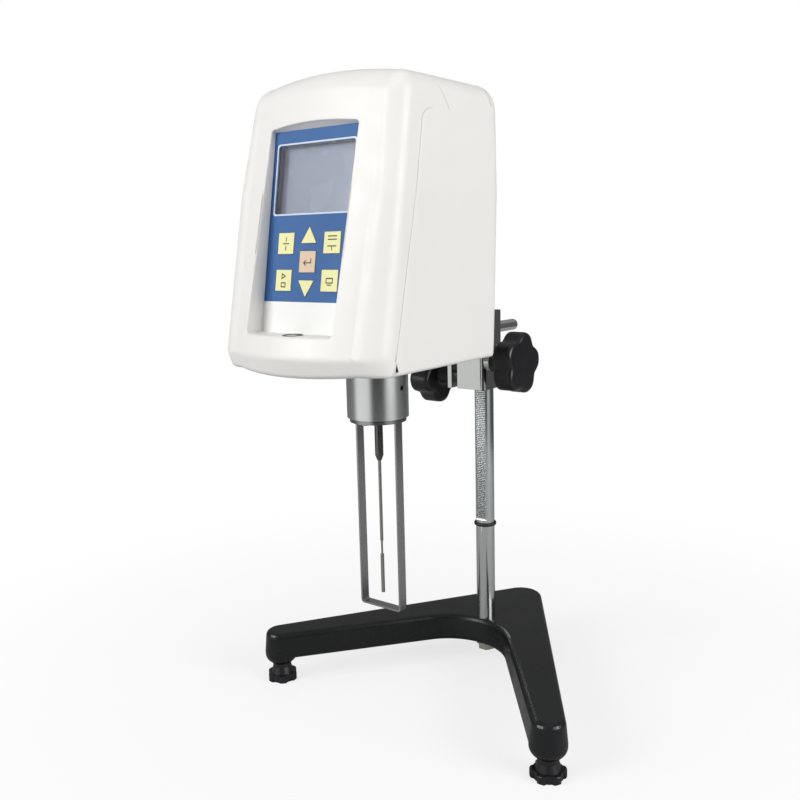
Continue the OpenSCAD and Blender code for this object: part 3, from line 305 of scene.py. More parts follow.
def liquid_crystal(name, colour):
    """Grey display: lighter viewing area, with painted shade of its recess along the left and the top, and darker
    painted shade of the gap along the left
    """
    s = Shader(name)
    low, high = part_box("display_frame")
    place = s.place()
    # Painted shade of the recess: darker along the left and the top
    left = s.spread(place["X"], 0, 1, *(low[0] + v * MM for v in LCD_RECESS_SHADE_LEFT))
    top = s.spread(place["Z"], 1, 0, *(high[2] - v * MM for v in LCD_RECESS_SHADE_TOP))
    tone = s.mix(s.times(left, top), tuple(c * LCD_RECESS_SHADE_SHARE for c in colour), colour)
    # Painted shade of the gap: a dark band along the left edge
    edge = s.spread(place["X"], 1, 0, *(low[0] + v * MM for v in LCD_GAP_SHADE))
    dark = s.add("ShaderNodeMix", data_type="RGBA")
    s.link(edge, dark.inputs["Factor"])
    s.link(tone, dark.inputs["A"])
    dark.inputs["B"].default_value = LCD_GAP_SHADE_COLOUR
    s.link(dark.outputs["Result"], s.bsdf.inputs["Base Color"])
    s.gloss(s.noise(scale=40.0), 0.22, 0.30)
    return s.mat


# Plastics: name, colour, roughness, grain and how dark the drift goes
PLASTICS = {
    "strip": ("white strip", (0.90, 0.90, 0.88), 0.38, 0.02, 0.97),
    "line": ("pale line", (0.62, 0.72, 0.84), 0.35, 0.02, 0.97),
    "black": ("black plastic", (0.008, 0.008, 0.009), 0.36, 0.06, 0.8),
    "knob": ("knob plastic", (0.009, 0.0085, 0.011), 0.34, 0.12, 0.75),
    "dark": ("black rubber", (0.012, 0.012, 0.012), 0.6, 0.2, 0.8),
    "nylon": ("nylon", (0.75, 0.72, 0.62), 0.5, 0.05, 0.95),
    "board": ("board green", (0.03, 0.16, 0.07), 0.4, 0.05, 0.9),
    "jewel": ("bearing jewel", (0.35, 0.03, 0.06), 0.15, 0.01, 0.9),
    "ink": ("key ink", (0.03, 0.035, 0.02), 0.5, 0.02, 0.9),
}

# Metals: name, colour, roughness, stretch, scale and depth of the marks, spread of roughness, dark share
METALS = {
    "rod_y": ("ground mounting rod", (0.86, 0.87, 0.86), 0.20, (1, 0.02, 1), 1200.0, 0.02),
    "clamp": ("clamp aluminium", (0.66, 0.675, 0.66), 0.17, (1, 1, 0.2), 900.0, 0.006, 0.04),
    "cup": ("turned cup", (0.74, 0.76, 0.755), 0.25, (0.05, 0.05, 1), 1800.0, 0.004, 0.02, 0.95),
    "ring": ("turned ring", (0.40, 0.41, 0.41), 0.22, (0.05, 0.05, 1), 900.0, 0.02, 0.04, 0.8),
    "guard": ("guard strip", (0.42, 0.42, 0.42), 0.26, (1, 1, 0.05), 900.0, 0.04),
    "spindle": ("spindle steel", (0.42, 0.41, 0.385), 0.24, (0.1, 0.1, 1), 1200.0, 0.05),
    "coupling": ("blackened coupling", (0.20, 0.195, 0.18), 0.22, (1, 1, 1), 700.0, 0.5, 0.12, 0.45),
    "zinc": ("zinc plate", (0.62, 0.60, 0.53), 0.34, (1, 1, 1), 300.0, 0.05),
    "frame": ("milled plate", (0.60, 0.61, 0.62), 0.38, (1, 0.1, 1), 500.0, 0.08),
    "brass": ("cut brass", (0.72, 0.52, 0.22), 0.3, (0.1, 0.1, 1), 500.0, 0.05),
    "blued": ("blued spring", (0.10, 0.13, 0.30), 0.28, (1, 1, 0.1), 400.0, 0.04),
}


def plain_materials():
    """Every finish by its short key"""
    made = {key: moulded(*values) for key, values in PLASTICS.items()}
    made.update({key: metal(*values) for key, values in METALS.items()})
    made.update({
        "housing": moulded("housing plastic", finish_colour("housing"), 0.42, 0.05, 0.965),
        "keypad": moulded("blue overlay", finish_colour("keypad"), 0.46, 0.05, 0.88, 1.33),
        "keys": moulded("yellow keys", finish_colour("keys"), 0.42, 0.02, 0.95),
        "enter": moulded("peach key", finish_colour("enter"), 0.42, 0.02, 0.95),
        "enamel": enamel("black enamel", finish_colour("enamel")),
        "display": liquid_crystal("display glass", (0.50, 0.52, 0.62)),
        # The rod's second colour is painted shade of its teeth on the milled flat
        "rod": ground_rod("ground rod", (0.66, 0.675, 0.68), (0.17, 0.178, 0.18)),
        "lens": clear("display lens", (0.93, 0.95, 0.98)),
        "vial": clear("level glass", (0.80, 0.92, 0.62)),
    })
    return made


NODE_FINISH = {
    "enamel": ["base_casting"],
    "rod": ["upright_rod"],
    "rod_y": ["mounting_rod"],
    "zinc": [
        "rod_bolt", "rod_washer", "cover_screws", "guard_screws", "left_foot_stud", "right_foot_stud",
        "tension_screw", "frame_posts"],
    "dark": ["stop_ring", "rear_foot"],
    "knob": [
        "height_knob", "lock_knob", "left_foot_knob", "right_foot_knob", "left_foot_collar",
        "right_foot_collar"],
    "clamp": ["clamp_block", "pinion_bushing"],
    "cup": ["pivot_cup"],
    "ring": ["guard_ring"],
    "guard": ["guard_leg"],
    "coupling": ["spindle_coupling"],
    "spindle": ["spindle", "pivot_shaft", "pinion_shaft", "lock_screw", "drive_shaft", "encoder_disc"],
    "housing": ["front_cover", "rear_cover"],
    "strip": ["name_strip"],
    "nylon": ["tension_insert"],
    "keypad": ["keypad_panel"],
    "keys": ["key_up", "key_down", "key_upper_left", "key_upper_right", "key_lower_left", "key_lower_right"],
    "enter": ["key_enter"],
    "line": ["display_frame"],
    "lens": ["display_lens"],
    "display": ["display_module"],
    "black": ["level_housing", "power_inlet", "power_rocker", "motor", "torque_sensor"],
    "vial": ["level_vial"],
    "frame": ["bottom_plate", "top_plate", "data_connector"],
    "brass": ["drive_gear", "motor_pinion"],
    "jewel": ["jewel_bearing"],
    "blued": ["torque_spring"],
    "board": ["circuit_board"],
}

MATERIALS = {}


# ---------------------------------------------------------------- surfaces

def build(name, points, faces, material, body, replaced=(), smooth=True):
    """Makes a mesh from points in mm about the upright rod, and hangs it on its body"""
    mesh = bpy.data.meshes.new(name)
    verts = np.asarray(points, float).copy()
    verts[:, 1] += ROD_Y
    mesh.from_pydata((verts * MM).tolist(), [], faces)
    mesh.validate()
    mesh.polygons.foreach_set("use_smooth", np.full(len(mesh.polygons), smooth))
    mesh.materials.append(MATERIALS[material])
    mesh.update()
    obj = bpy.data.objects.new(name, mesh)
    bpy.context.scene.collection.objects.link(obj)
    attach(obj, body)
    if replaced:
        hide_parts(*replaced)
    return obj


def grid_faces(rows, cols, flip=False):
    """Quads between closed rows of points that run row by row"""
    r, c = np.meshgrid(np.arange(rows - 1), np.arange(cols), indexing="ij")
    a = r * cols + c
    b = r * cols + (c + 1) % cols
    quads = np.stack([a, b, b + cols, a + cols], -1).reshape(-1, 4)
    if flip:
        quads = quads[:, ::-1]
    return quads.tolist()


# ---------------------------------------------------------------- head covers

# All in mm. Window in the front: its lower and upper edge, the rise of its arch and its corners
WINDOW_LOW, WINDOW_HIGH, WINDOW_ARCH, WINDOW_R = 311.5, 449.7, 2.4, 2.5
# Distance of each face in front of the upright rod, and how far it leans back for each mm of height
FRONT_FORWARD, FRONT_LEAN = 213.6, 0.25
REAR_FORWARD, REAR_LEAN = 67.5, 0.105
PANEL_FORWARD, PANEL_LEAN = 198.2, 0.17
# Bow of the front across its width at the lip and below the roof, and how far in from the sides it ends
BOW_LOW, BOW_TOP = 12.0, 4.5
BOW_IN_LOW, BOW_IN_TOP = 20.0, 15.0
# Rise of the roof's middle and fall of the front's lower edge
ROOF_CROWN, FRONT_SAG = 4.0, 2.0
# Lower lip: how sharply it turns back, and its slope
LIP_BLEND, LIP_SLOPE = 0.5, 0.36
# Straight upper edge of the keypad, below the window's arch
KEYPAD_TOP = 448.4
# Heights at which widths and corner radii are given, and the radii there
LEVELS = (297.5, 406.5, 467.3)
FRONT_CORNERS = (20.0, 13.0, 14.5)
REAR_CORNERS = (9.0, 15.0, 18.5)
FRONT_ROOF_R, REAR_ROOF_R, LOW_R = 14.5, 18.5, 3.2
# Lean of the sides below the roof's corners, in degrees
SIDE_LEAN = 8.4
# Joint line: its depth behind the front, the shoulder where it leaves the front's slope, its level
# step and the hook that it makes there, then its place across the roof
SEAM_DEPTH, SHOULDER_Z, STEP_Z, HOOK = 27.0, 445.5, 457.5, 13.0
ROOF_SEAM_Y, ROOF_SEAM_RUN, ROOF_SEAM_RISE = -120.0, -15.0, 24.0
# Heights above the step at which the joint line jumps back, and at which the next point stands
JUMP_AT, JUMP_TO = 0.2, 0.35
# Covers' edges at the joint line: how far they turn in, and their small round
TURN_IN, EDGE_IN, EDGE_R = 2.2, 0.5, 0.45
# Round of the window's rim, and the height of the middle where the rear's rows end
RIM_R, REAR_MIDDLE_Z = 1.4, 381.5

# The window's tunnel: how far it ends behind the keypad's face, and least length before it
TUNNEL_PAST, TUNNEL_LEAST = 0.3, 0.2
# Where rows run aslant to the outline: the least slant counted, and the most that an edge may take up
FRONT_SLANT, REAR_SLANT, EDGE_SHARE = 0.25, 0.3, 0.8
# How far to the rear's middle the last row goes. One face closes it
REAR_END = 0.985
# Points of the head's outline: along the bottom, round a lower corner, up a side, more of them about
# the shoulder, round an upper corner and along half the roof
BOTTOM_N, CORNER_N, SIDE_N, SHOULDER_N, UPPER_N, ROOF_N = 40, 9, 56, 46, 25, 40
# Steps of the covers' rows: wall, rounded edge, face, and at the front the window's tunnel
FRONT_STEPS, REAR_STEPS = (12, 21, 14, 8), (26, 19, 16)


def head_level(z, low, mid, top):
    """Value at height z of something given at the lip, two thirds up and below the roof"""
    return np.interp(z, LEVELS, [low, mid, top])


def half_width(z):
    """Half width of the head: near constant low down, drawn in smoothly towards the roof"""
    s = sizes()
    return head_level(z, s.half_low, s.half_mid, s.half_top)


def front_plane(u, z):
    """Bowed and leaning front: a plane that leans back, plus a parabola across it, plus the lip's chamfer"""
    bow = np.interp(z, LEVELS[::2], [BOW_LOW, BOW_TOP])
    reach = half_width(z) - np.interp(z, LEVELS[::2], [BOW_IN_LOW, BOW_IN_TOP])
    t = np.clip(u / reach, -1, 1)
    y = -FRONT_FORWARD + FRONT_LEAN * (z - WINDOW_LOW) + bow / 2 - bow * (1 - t * t)
    below = np.log1p(np.exp((sizes().lip_z - z) / LIP_BLEND)) * LIP_BLEND
    return y + below * (LIP_SLOPE + FRONT_LEAN)


def edge_round(distance, radius):
    """Depth of a quarter round of that radius, at a distance in from its edge"""
    d = np.clip(distance, 0, radius)
    return radius - np.sqrt(np.maximum(radius * radius - (radius - d) ** 2, 0))


def roof_height(u, radius):
    """Crowned roof: a parabola between the corners"""
    reach = sizes().half_top - radius - 0.5
    t = np.clip(np.abs(u) / reach, 0, 1)
    return sizes().top_z + ROOF_CROWN * (1 - t * t)


def low_height(u, sag):
    """Lower edge: a shallow parabola that hangs by sag in the middle"""
    reach = sizes().half_low - BOW_IN_LOW
    t = np.clip(np.abs(u) / reach, 0, 1)
    return sizes().low_z - sag * (1 - t * t)


def side_distance(u, z, top_r):
    """Distance in from the sides and roof, with the roof's corners rounded to top_r"""
    side = half_width(z) - np.abs(u)
    top = roof_height(u, top_r) - z
    corner = top_r - np.sqrt(np.maximum(top_r - side, 0) ** 2 + np.maximum(top_r - top, 0) ** 2)
    both = (side < top_r) & (top < top_r)
    return np.where(both, corner, np.minimum(side, top))


def front_skin(u, z):
    """Front of the head as a height field over its elevation"""
    radius = np.interp(z, LEVELS, FRONT_CORNERS)
    d = side_distance(u, z, FRONT_ROOF_R)
    low = z - low_height(u, FRONT_SAG)
    return front_plane(u, z) + edge_round(d, radius) + edge_round(low, LOW_R)


def rear_skin(u, z):
    """Rear of the head as a height field over its elevation"""
    radius = np.interp(z, LEVELS, REAR_CORNERS)
    d = side_distance(u, z, REAR_ROOF_R)
    low = z - low_height(u, 0.0)
    plane = -REAR_FORWARD + REAR_LEAN * (z - sizes().low_z)
    return plane - edge_round(d, radius) - edge_round(low, LOW_R)


def elevation_loop(top_r, sag):
    """Outline of the head seen from the front, from the middle of the bottom anticlockwise.
    Straight bottom, small lower corners, tapered sides, round upper corners, crowned roof"""
    s = sizes()
    r = LOW_R
    base_u = np.linspace(0, s.half_low - r, BOTTOM_N)
    bottom = np.stack([base_u, low_height(base_u, sag)], 1)
    a = np.radians(np.linspace(-90, 0, CORNER_N))[1:]
    z0 = low_height(s.half_low, sag) + r
    lower = np.stack([half_width(z0) - r + r * np.cos(a), z0 + r * np.sin(a)], 1)
    z_end = s.top_z - top_r
    side_z = np.unique(np.concatenate([
        np.linspace(z0, z_end, SIDE_N)[1:], np.linspace(SHOULDER_Z - 3, STEP_Z + 3, SHOULDER_N),
        [STEP_Z, STEP_Z + JUMP_TO]]))
    side_z = side_z[(side_z > z0) & (side_z <= z_end)]
    side = np.stack([half_width(side_z), side_z], 1)
    a = np.linspace(0, math.pi / 2 - math.radians(SIDE_LEAN), UPPER_N)[1:]
    width = half_width(z_end)
    upper = np.stack([width - top_r + top_r * np.cos(a), z_end + top_r * np.sin(a)], 1)
    end_u = upper[-1, 0]
    roof_u = np.linspace(end_u, 0, ROOF_N)[1:]
    crown = (upper[-1, 1] - roof_height(end_u, top_r)) * (roof_u / end_u) ** 2
    roof = np.stack([roof_u, roof_height(roof_u, top_r) + crown], 1)
    half = np.concatenate([bottom, lower, side, upper, roof])
    left = half[::-1][1:-1] * [-1, 1]
    return np.concatenate([half, left]), [len(bottom), len(lower), len(side), len(upper), len(roof)]


def window_loop(counts):
    """Window outline with as many points in each part as the head's outline has"""
    nb, nl, ns, nu, nr = counts
    w, r = sizes().window_half, WINDOW_R
    z0, z1 = WINDOW_LOW, WINDOW_HIGH
    bottom_u = np.linspace(0, w - r, nb)
    bottom = np.stack([bottom_u, np.full(nb, z0)], 1)
    a = np.radians(np.linspace(-90, 0, nl + 1))[1:]
    lower = np.stack([w - r + r * np.cos(a), z0 + r + r * np.sin(a)], 1)
    side_z = np.linspace(z0 + r, z1 - r, ns + 1)[1:]
    side = np.stack([np.full(ns, w), side_z], 1)
    slope = math.atan(2 * WINDOW_ARCH / w)
    a = np.linspace(0, math.pi / 2 - slope, nu + 1)[1:]
    upper = np.stack([w - r + r * np.cos(a), z1 - r + r * np.sin(a)], 1)
    end_u, end_z = upper[-1]
    roof_u = np.linspace(end_u, 0, nr + 1)[1:]
    roof = np.stack([roof_u, end_z + WINDOW_ARCH * (1 - (roof_u / end_u) ** 2)], 1)
    half = np.concatenate([bottom, lower, side, upper, roof])
    left = half[::-1][1:-1] * [-1, 1]
    return np.concatenate([half, left])


def seam_y(z):
    """Where the covers meet: parallel to the front up to the shoulder, then a step back below the roof"""
    low = -FRONT_FORWARD + FRONT_LEAN * (np.minimum(z, SHOULDER_Z) - WINDOW_LOW) + SEAM_DEPTH
    t = np.clip((z - SHOULDER_Z) / (STEP_Z - SHOULDER_Z), 0, 1)
    hook = HOOK * (1 - np.sqrt(np.maximum(1 - t * t, 0)))
    roof = ROOF_SEAM_Y + ROOF_SEAM_RUN * np.clip((z - STEP_Z) / ROOF_SEAM_RISE, 0, 1)
    return np.where(z > STEP_Z + JUMP_AT, roof, low + hook)


def loft(rings):
    """Stacks closed rings of points into one grid"""
    return np.concatenate(rings), len(rings), len(rings[0])


def at(loop, y):
    """Points on an elevation outline at depth y"""
    return np.stack([HEAD_X + loop[:, 0], y, loop[:, 1]], 1)


def inward(loop):
    """Unit normals that point into a closed anticlockwise outline"""
    t = np.roll(loop, -1, 0) - np.roll(loop, 1, 0)
    n = np.stack([-t[:, 1], t[:, 0]], 1)
    return n / np.maximum(np.linalg.norm(n, axis=1, keepdims=True), 1e-9)


def seam_edge(loop, inwards, seam, out):
    """Rows of a cover's edge at the joint line: turned in, then rounded; out is 1 towards the rear"""
    rows = [at(loop + inwards * TURN_IN, seam), at(loop + inwards * EDGE_IN, seam)]
    for a in np.radians([30, 60, 90]):
        rows.append(at(loop + inwards * EDGE_R * (1 - math.sin(a)), seam + out * EDGE_R * (1 - math.cos(a))))
    return rows


def front_rows():
    """Rows of the front cover from the joint line forward, over the face and into the window"""
    outer, counts = elevation_loop(FRONT_ROOF_R, FRONT_SAG)
    window = window_loop(counts)
    n_out = inward(outer)
    seam = seam_y(outer[:, 1])
    radius = np.interp(outer[:, 1], LEVELS, FRONT_CORNERS)
    tangent = front_skin(outer[:, 0], outer[:, 1])
    rows = seam_edge(outer, n_out, seam, -1)
    wall, rounded, face, tunnel = FRONT_STEPS
    for t in np.linspace(0, 1, wall)[1:]:
        rows.append(at(outer, (seam - EDGE_R) * (1 - t) + tangent * t))
    # over the rounded edge and across the face
    step = np.linalg.norm(window - outer, axis=1)
    toward = (window - outer) / step[:, None]
    across = np.maximum((toward * n_out).sum(1), FRONT_SLANT)
    reach = np.minimum(radius / across, step * EDGE_SHARE)
    for a in np.linspace(0, math.pi / 2, rounded)[1:]:
        d = reach * (1 - math.cos(a))
        p = outer + toward * d[:, None]
        rows.append(at(p, front_skin(p[:, 0], p[:, 1])))
    for t in np.linspace(0, 1, face)[1:]:
        d = reach + (step - RIM_R - reach) * t
        p = outer + toward * d[:, None]
        rows.append(at(p, front_skin(p[:, 0], p[:, 1])))
    # rounded rim of the window and its tunnel
    mouth = front_skin(window[:, 0], window[:, 1])
    n_win = -inward(window)
    for a in np.radians([25, 50, 70, 90]):
        p = window + n_win * RIM_R * (1 - math.sin(a))
        rows.append(at(p, mouth + RIM_R * (1 - math.cos(a))))
    inner = np.stack([window[:, 0], np.minimum(window[:, 1], KEYPAD_TOP)], 1)
    panel = -PANEL_FORWARD + PANEL_LEAN * (inner[:, 1] - WINDOW_LOW) + TUNNEL_PAST
    start = np.minimum(mouth + RIM_R, panel - TUNNEL_LEAST)
    for t in np.linspace(0, 1, tunnel)[1:]:
        rows.append(at(window * (1 - t) + inner * t, start * (1 - t) + panel * t))
    return rows


def rear_rows():
    """Rows of the rear cover from the joint line back, over the rear edge to its middle"""
    front_loop, _ = elevation_loop(FRONT_ROOF_R, FRONT_SAG)
    back_loop, _ = elevation_loop(REAR_ROOF_R, 0.0)
    seam = seam_y(front_loop[:, 1]) + sizes().seam_gap
    tangent = rear_skin(back_loop[:, 0], back_loop[:, 1])
    rows = seam_edge(front_loop, inward(front_loop), seam, 1)
    wall, rounded, face = REAR_STEPS
    for t in np.linspace(0, 1, wall)[1:]:
        loop = front_loop * (1 - t) + back_loop * t
        rows.append(at(loop, seam * (1 - t) + tangent * t + EDGE_R * (1 - t)))
    span = np.array([0.0, REAR_MIDDLE_Z]) - back_loop
    length = np.linalg.norm(span, axis=1)
    toward = span / length[:, None]
    across = np.maximum((toward * inward(back_loop)).sum(1), REAR_SLANT)
    reach = np.interp(back_loop[:, 1], LEVELS, REAR_CORNERS) / across
    for a in np.linspace(0, math.pi / 2, rounded)[1:]:
        d = reach * (1 - math.cos(a))
        p = back_loop + toward * d[:, None]
        rows.append(at(p, rear_skin(p[:, 0], p[:, 1])))
    for t in np.linspace(0, REAR_END, face)[1:]:
        d = reach + (length - reach) * t
        p = back_loop + toward * d[:, None]
        rows.append(at(p, rear_skin(p[:, 0], p[:, 1])))
    return rows


class VISCO_OT_covers(bpy.types.Operator):
    """Moulded front and rear covers of the head"""

    bl_idname = "viscometer.covers"
    bl_label = "Head covers"

    def execute(self, context):
        points, rows, cols = loft(front_rows())
        faces = grid_faces(rows, cols)
        build("front_cover_skin", points, faces, "housing", "head", ["front_cover"])
        points, rows, cols = loft(rear_rows())
        faces = grid_faces(rows, cols, flip=True)
        faces.append(list(range((rows - 1) * cols, rows * cols)))
        build("rear_cover_skin", points, faces, "housing", "head", ["rear_cover"])
        return {"FINISHED"}


# ---------------------------------------------------------------- knobs

KNOB_R, VALLEY, KNOB_EDGE, HUB_R = 25.5, 4.6, 3.6, 9.0
# Each knob: its body and shaft, which way it faces along X, the angle of a lobe, then in mm the
# thickness of its disc, how far its face stands past the machined one, and the face's bulge
KNOBS = (
    ("height_knob", "height_drive", "pinion_shaft", 1.0, math.radians(12), 17.4, 2.0, 1.0),
    ("lock_knob", "rod_lock", "lock_screw", -1.0, math.pi, 19.5, 0.0, 0.0),
)
# Shares of the way in at which the knob's face has its rings
FACE_RINGS = (0.93, 0.85, 0.75, 0.62, 0.48, 0.33, 0.18, 0.06, 0.004)


def lobed_radius(theta, lobe_at):
    """Five broad lobes: full radius less a valley that narrows with the cube of a raised cosine"""
    return KNOB_R - VALLEY * (0.5 - 0.5 * np.cos(5 * (theta - lobe_at))) ** 1.5


def knob_rows(x_hub, x_back, x_face, crown, lobe_at, centre):
    """A lobed disc carried along X: hub, back face, rounded edges and a face that bulges by crown.
    Each row is the lobed radius less an inset, or a share of it towards the middle"""
    theta = np.linspace(0, 2 * math.pi, 241)[:-1]
    lobes = lobed_radius(theta, lobe_at)
    out = 1.0 if x_face > x_back else -1.0
    ring = np.ones_like(theta)
    inner = lobes - KNOB_EDGE
    rows = [
        (x_hub, ring * 0.05), (x_hub, ring * (HUB_R - 0.5)), (x_hub + out * 0.5, ring * HUB_R),
        (x_back - out * 0.4, ring * HUB_R), (x_back, ring * (HUB_R + 0.4))]
    rows += [(x_back, HUB_R + 0.4 + (inner - HUB_R - 0.4) * t) for t in (0.3, 0.65, 1.0)]
    for a in np.linspace(0, math.pi / 2, 9)[1:]:
        rows.append((x_back + out * KNOB_EDGE * (1 - math.cos(a)), inner + KNOB_EDGE * math.sin(a)))
    depth = abs(x_face - x_back) - 2 * KNOB_EDGE
    rows += [(x_back + out * (KNOB_EDGE + depth * t), lobes) for t in (0.33, 0.67, 1.0)]
    for a in np.linspace(0, math.pi / 2, 9)[1:]:
        rows.append((x_face - out * KNOB_EDGE * (1 - math.sin(a)), inner + KNOB_EDGE * math.cos(a)))
    for k in FACE_RINGS:
        rows.append((x_face + out * crown * (1 - k * k), inner * k))
    y, z = centre
    return loft([
        np.stack([np.full_like(theta, x), y + r * np.sin(theta), z + r * np.cos(theta)], 1) for x, r in rows])


# Ring round the rod: radius of its middle, half width and half height of its section, and its steps
RING_R, RING_HALF_W, RING_HALF_H, RING_TURNS, RING_STEPS = 8.8, 0.8, 1.4, 96, 20


class VISCO_OT_stop_ring(bpy.types.Operator):
    """Rubber ring that stops the clamp on the rod"""

    bl_idname = "viscometer.stop_ring"
    bl_label = "Stop ring"

    def execute(self, context):
        """Ring of oval section b carried round the rod: half width times cos b out, half height times sin b up"""
        turn, b = np.meshgrid(
            np.linspace(0, 2 * math.pi, RING_TURNS + 1)[:-1], np.linspace(0, 2 * math.pi, RING_STEPS + 1)[:-1],
            indexing="ij")
        r = RING_R + RING_HALF_W * np.cos(b)
        points = np.stack([r * np.cos(turn), r * np.sin(turn), RING_Z + RING_HALF_H * np.sin(b)], -1)
        # the last row of quads closes onto the first row of points
        faces = np.array(grid_faces(RING_TURNS + 1, RING_STEPS, flip=True)) % (RING_TURNS * RING_STEPS)
        build("stop_ring_rubber", points.reshape(-1, 3), faces.tolist(), "dark", "stand", ["stop_ring"])
        return {"FINISHED"}


class VISCO_OT_knobs(bpy.types.Operator):
    """Five-lobed knobs of the clamp"""

    bl_idname = "viscometer.knobs"
    bl_label = "Clamp knobs"

    def execute(self, context):
        for node, body, shaft, out, lobe_at, thick, beyond, bulge in KNOBS:
            low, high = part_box(node)
            x_hub, x_end = (low[0] / MM, high[0] / MM) if out > 0 else (high[0] / MM, low[0] / MM)
            x_face = x_end + out * beyond
            centre = (middle(shaft, 1) / MM - ROD_Y, middle(shaft, 2) / MM)
            points, rows, cols = knob_rows(x_hub, x_face - out * thick, x_face, bulge, lobe_at, centre)
            faces = grid_faces(rows, cols, flip=out > 0)
            first, last = list(range(cols)), list(range((rows - 1) * cols, rows * cols))
            faces += [first, last[::-1]] if out > 0 else [first[::-1], last]
            build(node + "_moulded", points, faces, "knob", body, [node])
        return {"FINISHED"}


# ---------------------------------------------------------------- key marks

# Strokes of each mark in mm on its key: x, up, x, up. They are plain signs, not words
KEY_MARKS = {
    "key_upper_left": [(-2.6, 0, 2.6, 0), (0, 1.8, 0, 4.2), (0, -1.8, 0, -4.2)],
    "key_upper_right": [
        (-3.6, 2.2, 3.6, 2.2), (-3.6, 4.4, 3.6, 4.4), (-3.6, -2.2, 3.6, -2.2), (0, -2.2, 0, -4.6)],
    "key_enter": [
        (3.2, 2.0, 3.2, -0.6), (3.2, -0.6, -3.2, -0.6), (-3.2, -0.6, -1.6, 1.0), (-3.2, -0.6, -1.6, -2.2)],
    "key_lower_left": [
        (-1.6, 4.6, -1.6, 1.4), (-1.6, 1.4, 1.6, 3.0), (1.6, 3.0, -1.6, 4.6), (-1.8, -1.6, 1.8, -1.6),
        (-1.8, -4.4, 1.8, -4.4), (-1.8, -1.6, -1.8, -4.4), (1.8, -1.6, 1.8, -4.4)],
    "key_lower_right": [
        (-2.8, 1.6, 2.8, 1.6), (-2.8, -1.4, 2.8, -1.4), (-2.8, 1.6, -2.8, -1.4), (2.8, 1.6, 2.8, -1.4),
        (-1.6, -2.8, 1.6, -2.8)],
}
# Width of a stroke, and how far it stands out from its middle, which lies MARK_OUT before the key
MARK_W, MARK_T, MARK_OUT = 0.8, 0.04, 0.02
# Corners of a stroke's six sides
BAR = np.array([[0, 1, 2, 3], [7, 6, 5, 4], [0, 4, 5, 1], [1, 5, 6, 2], [2, 6, 7, 3], [3, 7, 4, 0]])


def stroke_prisms(strokes, centre_x, centre_z, face_y):
    """One flat six-sided bar for each stroke: its line widened by half the mark's width on both sides"""
    line = np.array(strokes, float)
    a, b = line[:, :2], line[:, 2:]
    run = (b - a) / np.linalg.norm(b - a, axis=1, keepdims=True)
    side = np.stack([-run[:, 1], run[:, 0]], 1) * MARK_W / 2
    a, b = a - run * MARK_W / 2, b + run * MARK_W / 2
    flat = np.stack([a - side, b - side, b + side, a + side], 1)
    tilt = math.sqrt(1 + PANEL_LEAN ** 2)
    x = centre_x + flat[..., 0]
    z = centre_z + flat[..., 1] / tilt
    y = face_y + PANEL_LEAN * (z - centre_z)
    front = np.stack([x, y - MARK_T, z], -1)
    back = np.stack([x, y + MARK_T, z], -1)
    points = np.concatenate([front, back], 1).reshape(-1, 3)
    faces = (BAR[None] + np.arange(len(line))[:, None, None] * 8).reshape(-1, 4)
    return points, faces.tolist()


class VISCO_OT_key_marks(bpy.types.Operator):
    """Plain signs printed on the keys"""

    bl_idname = "viscometer.key_marks"
    bl_label = "Key marks"

    def execute(self, context):
        for key, strokes in KEY_MARKS.items():
            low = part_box(key)[0]
            x, z = middle(key, 0) / MM, middle(key, 2) / MM
            face_y = low[1] / MM - ROD_Y + PANEL_LEAN * (z - low[2] / MM) - MARK_OUT
            points, faces = stroke_prisms(strokes, x, z, face_y)
            build(key + "_mark", points, faces, "ink", key.replace("key_", "press_"), smooth=False)
        return {"FINISHED"}


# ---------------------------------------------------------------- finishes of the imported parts

class VISCO_OT_finish_nodes(bpy.types.Operator):
    """Materials for the machined and moulded parts"""

    bl_idname = "viscometer.finish_nodes"
    bl_label = "Part finishes"

    def execute(self, context):
        MATERIALS.update(plain_materials())
        for finish, names in NODE_FINISH.items():
            for name in names:
                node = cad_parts[name]
                node.data.materials.clear()
                node.data.materials.append(MATERIALS[finish])
        return {"FINISHED"}


# ---------------------------------------------------------------- stage

BACKDROP = (1.0, 1.0, 1.0)
STUDIO_LEVEL = 0.85
# Brightness of the studio round the object: place round the horizon, 0 to 1 from the left rear, and level
SCREENS = (
    (0.0, 0.20), (0.085, 0.24), (0.13, 1.0), (0.265, 1.0), (0.305, 0.03), (0.42, 0.03), (0.455, 0.55),
    (0.52, 0.52), (0.565, 0.12), (0.70, 0.10), (0.80, 0.22), (0.92, 0.22), (1.0, 0.20),
)
CEILING, CEILING_FROM, CEILING_TO = (0.42, 0.42, 0.42), 0.30, 0.70
# Floor: radius, colour for bounced and for direct sight, and the fade to the backdrop's white
FLOOR_R, FLOOR_POINTS = 0.9, 96
FLOOR_BOUNCE, FLOOR_COLOUR = (0.42, 0.42, 0.42), (0.93, 0.93, 0.93)
FADE = (("From Min", 0.14), ("From Max", 0.62), ("To Min", 0.74), ("To Max", 1.0))
# Square lamps: name, place, size in metres and power in watts, all turned to the same point
LAMPS = (
    ("front screen", (-0.75, -1.65, 1.1), 1.0, 23),
    ("side screen", (1.9, 0.05, 0.85), 1.1, 30),
    ("roof screen", (0.1, 0.2, 1.9), 1.1, 1),
)
LAMPS_AIM = (0, 0, 0.3)
# Camera: place in mm about the upright rod, angles in radians, focal length in pixels of the view
CAMERA_PLACE = (416.346, -651.308, 372.776)
CAMERA_YAW, CAMERA_PITCH, CAMERA_ROLL = 0.6611, 0.1719, -0.0254
FOCAL_PIXELS, VIEW_PIXELS, SENSOR_MM = 921.985, 800.0, 36.0


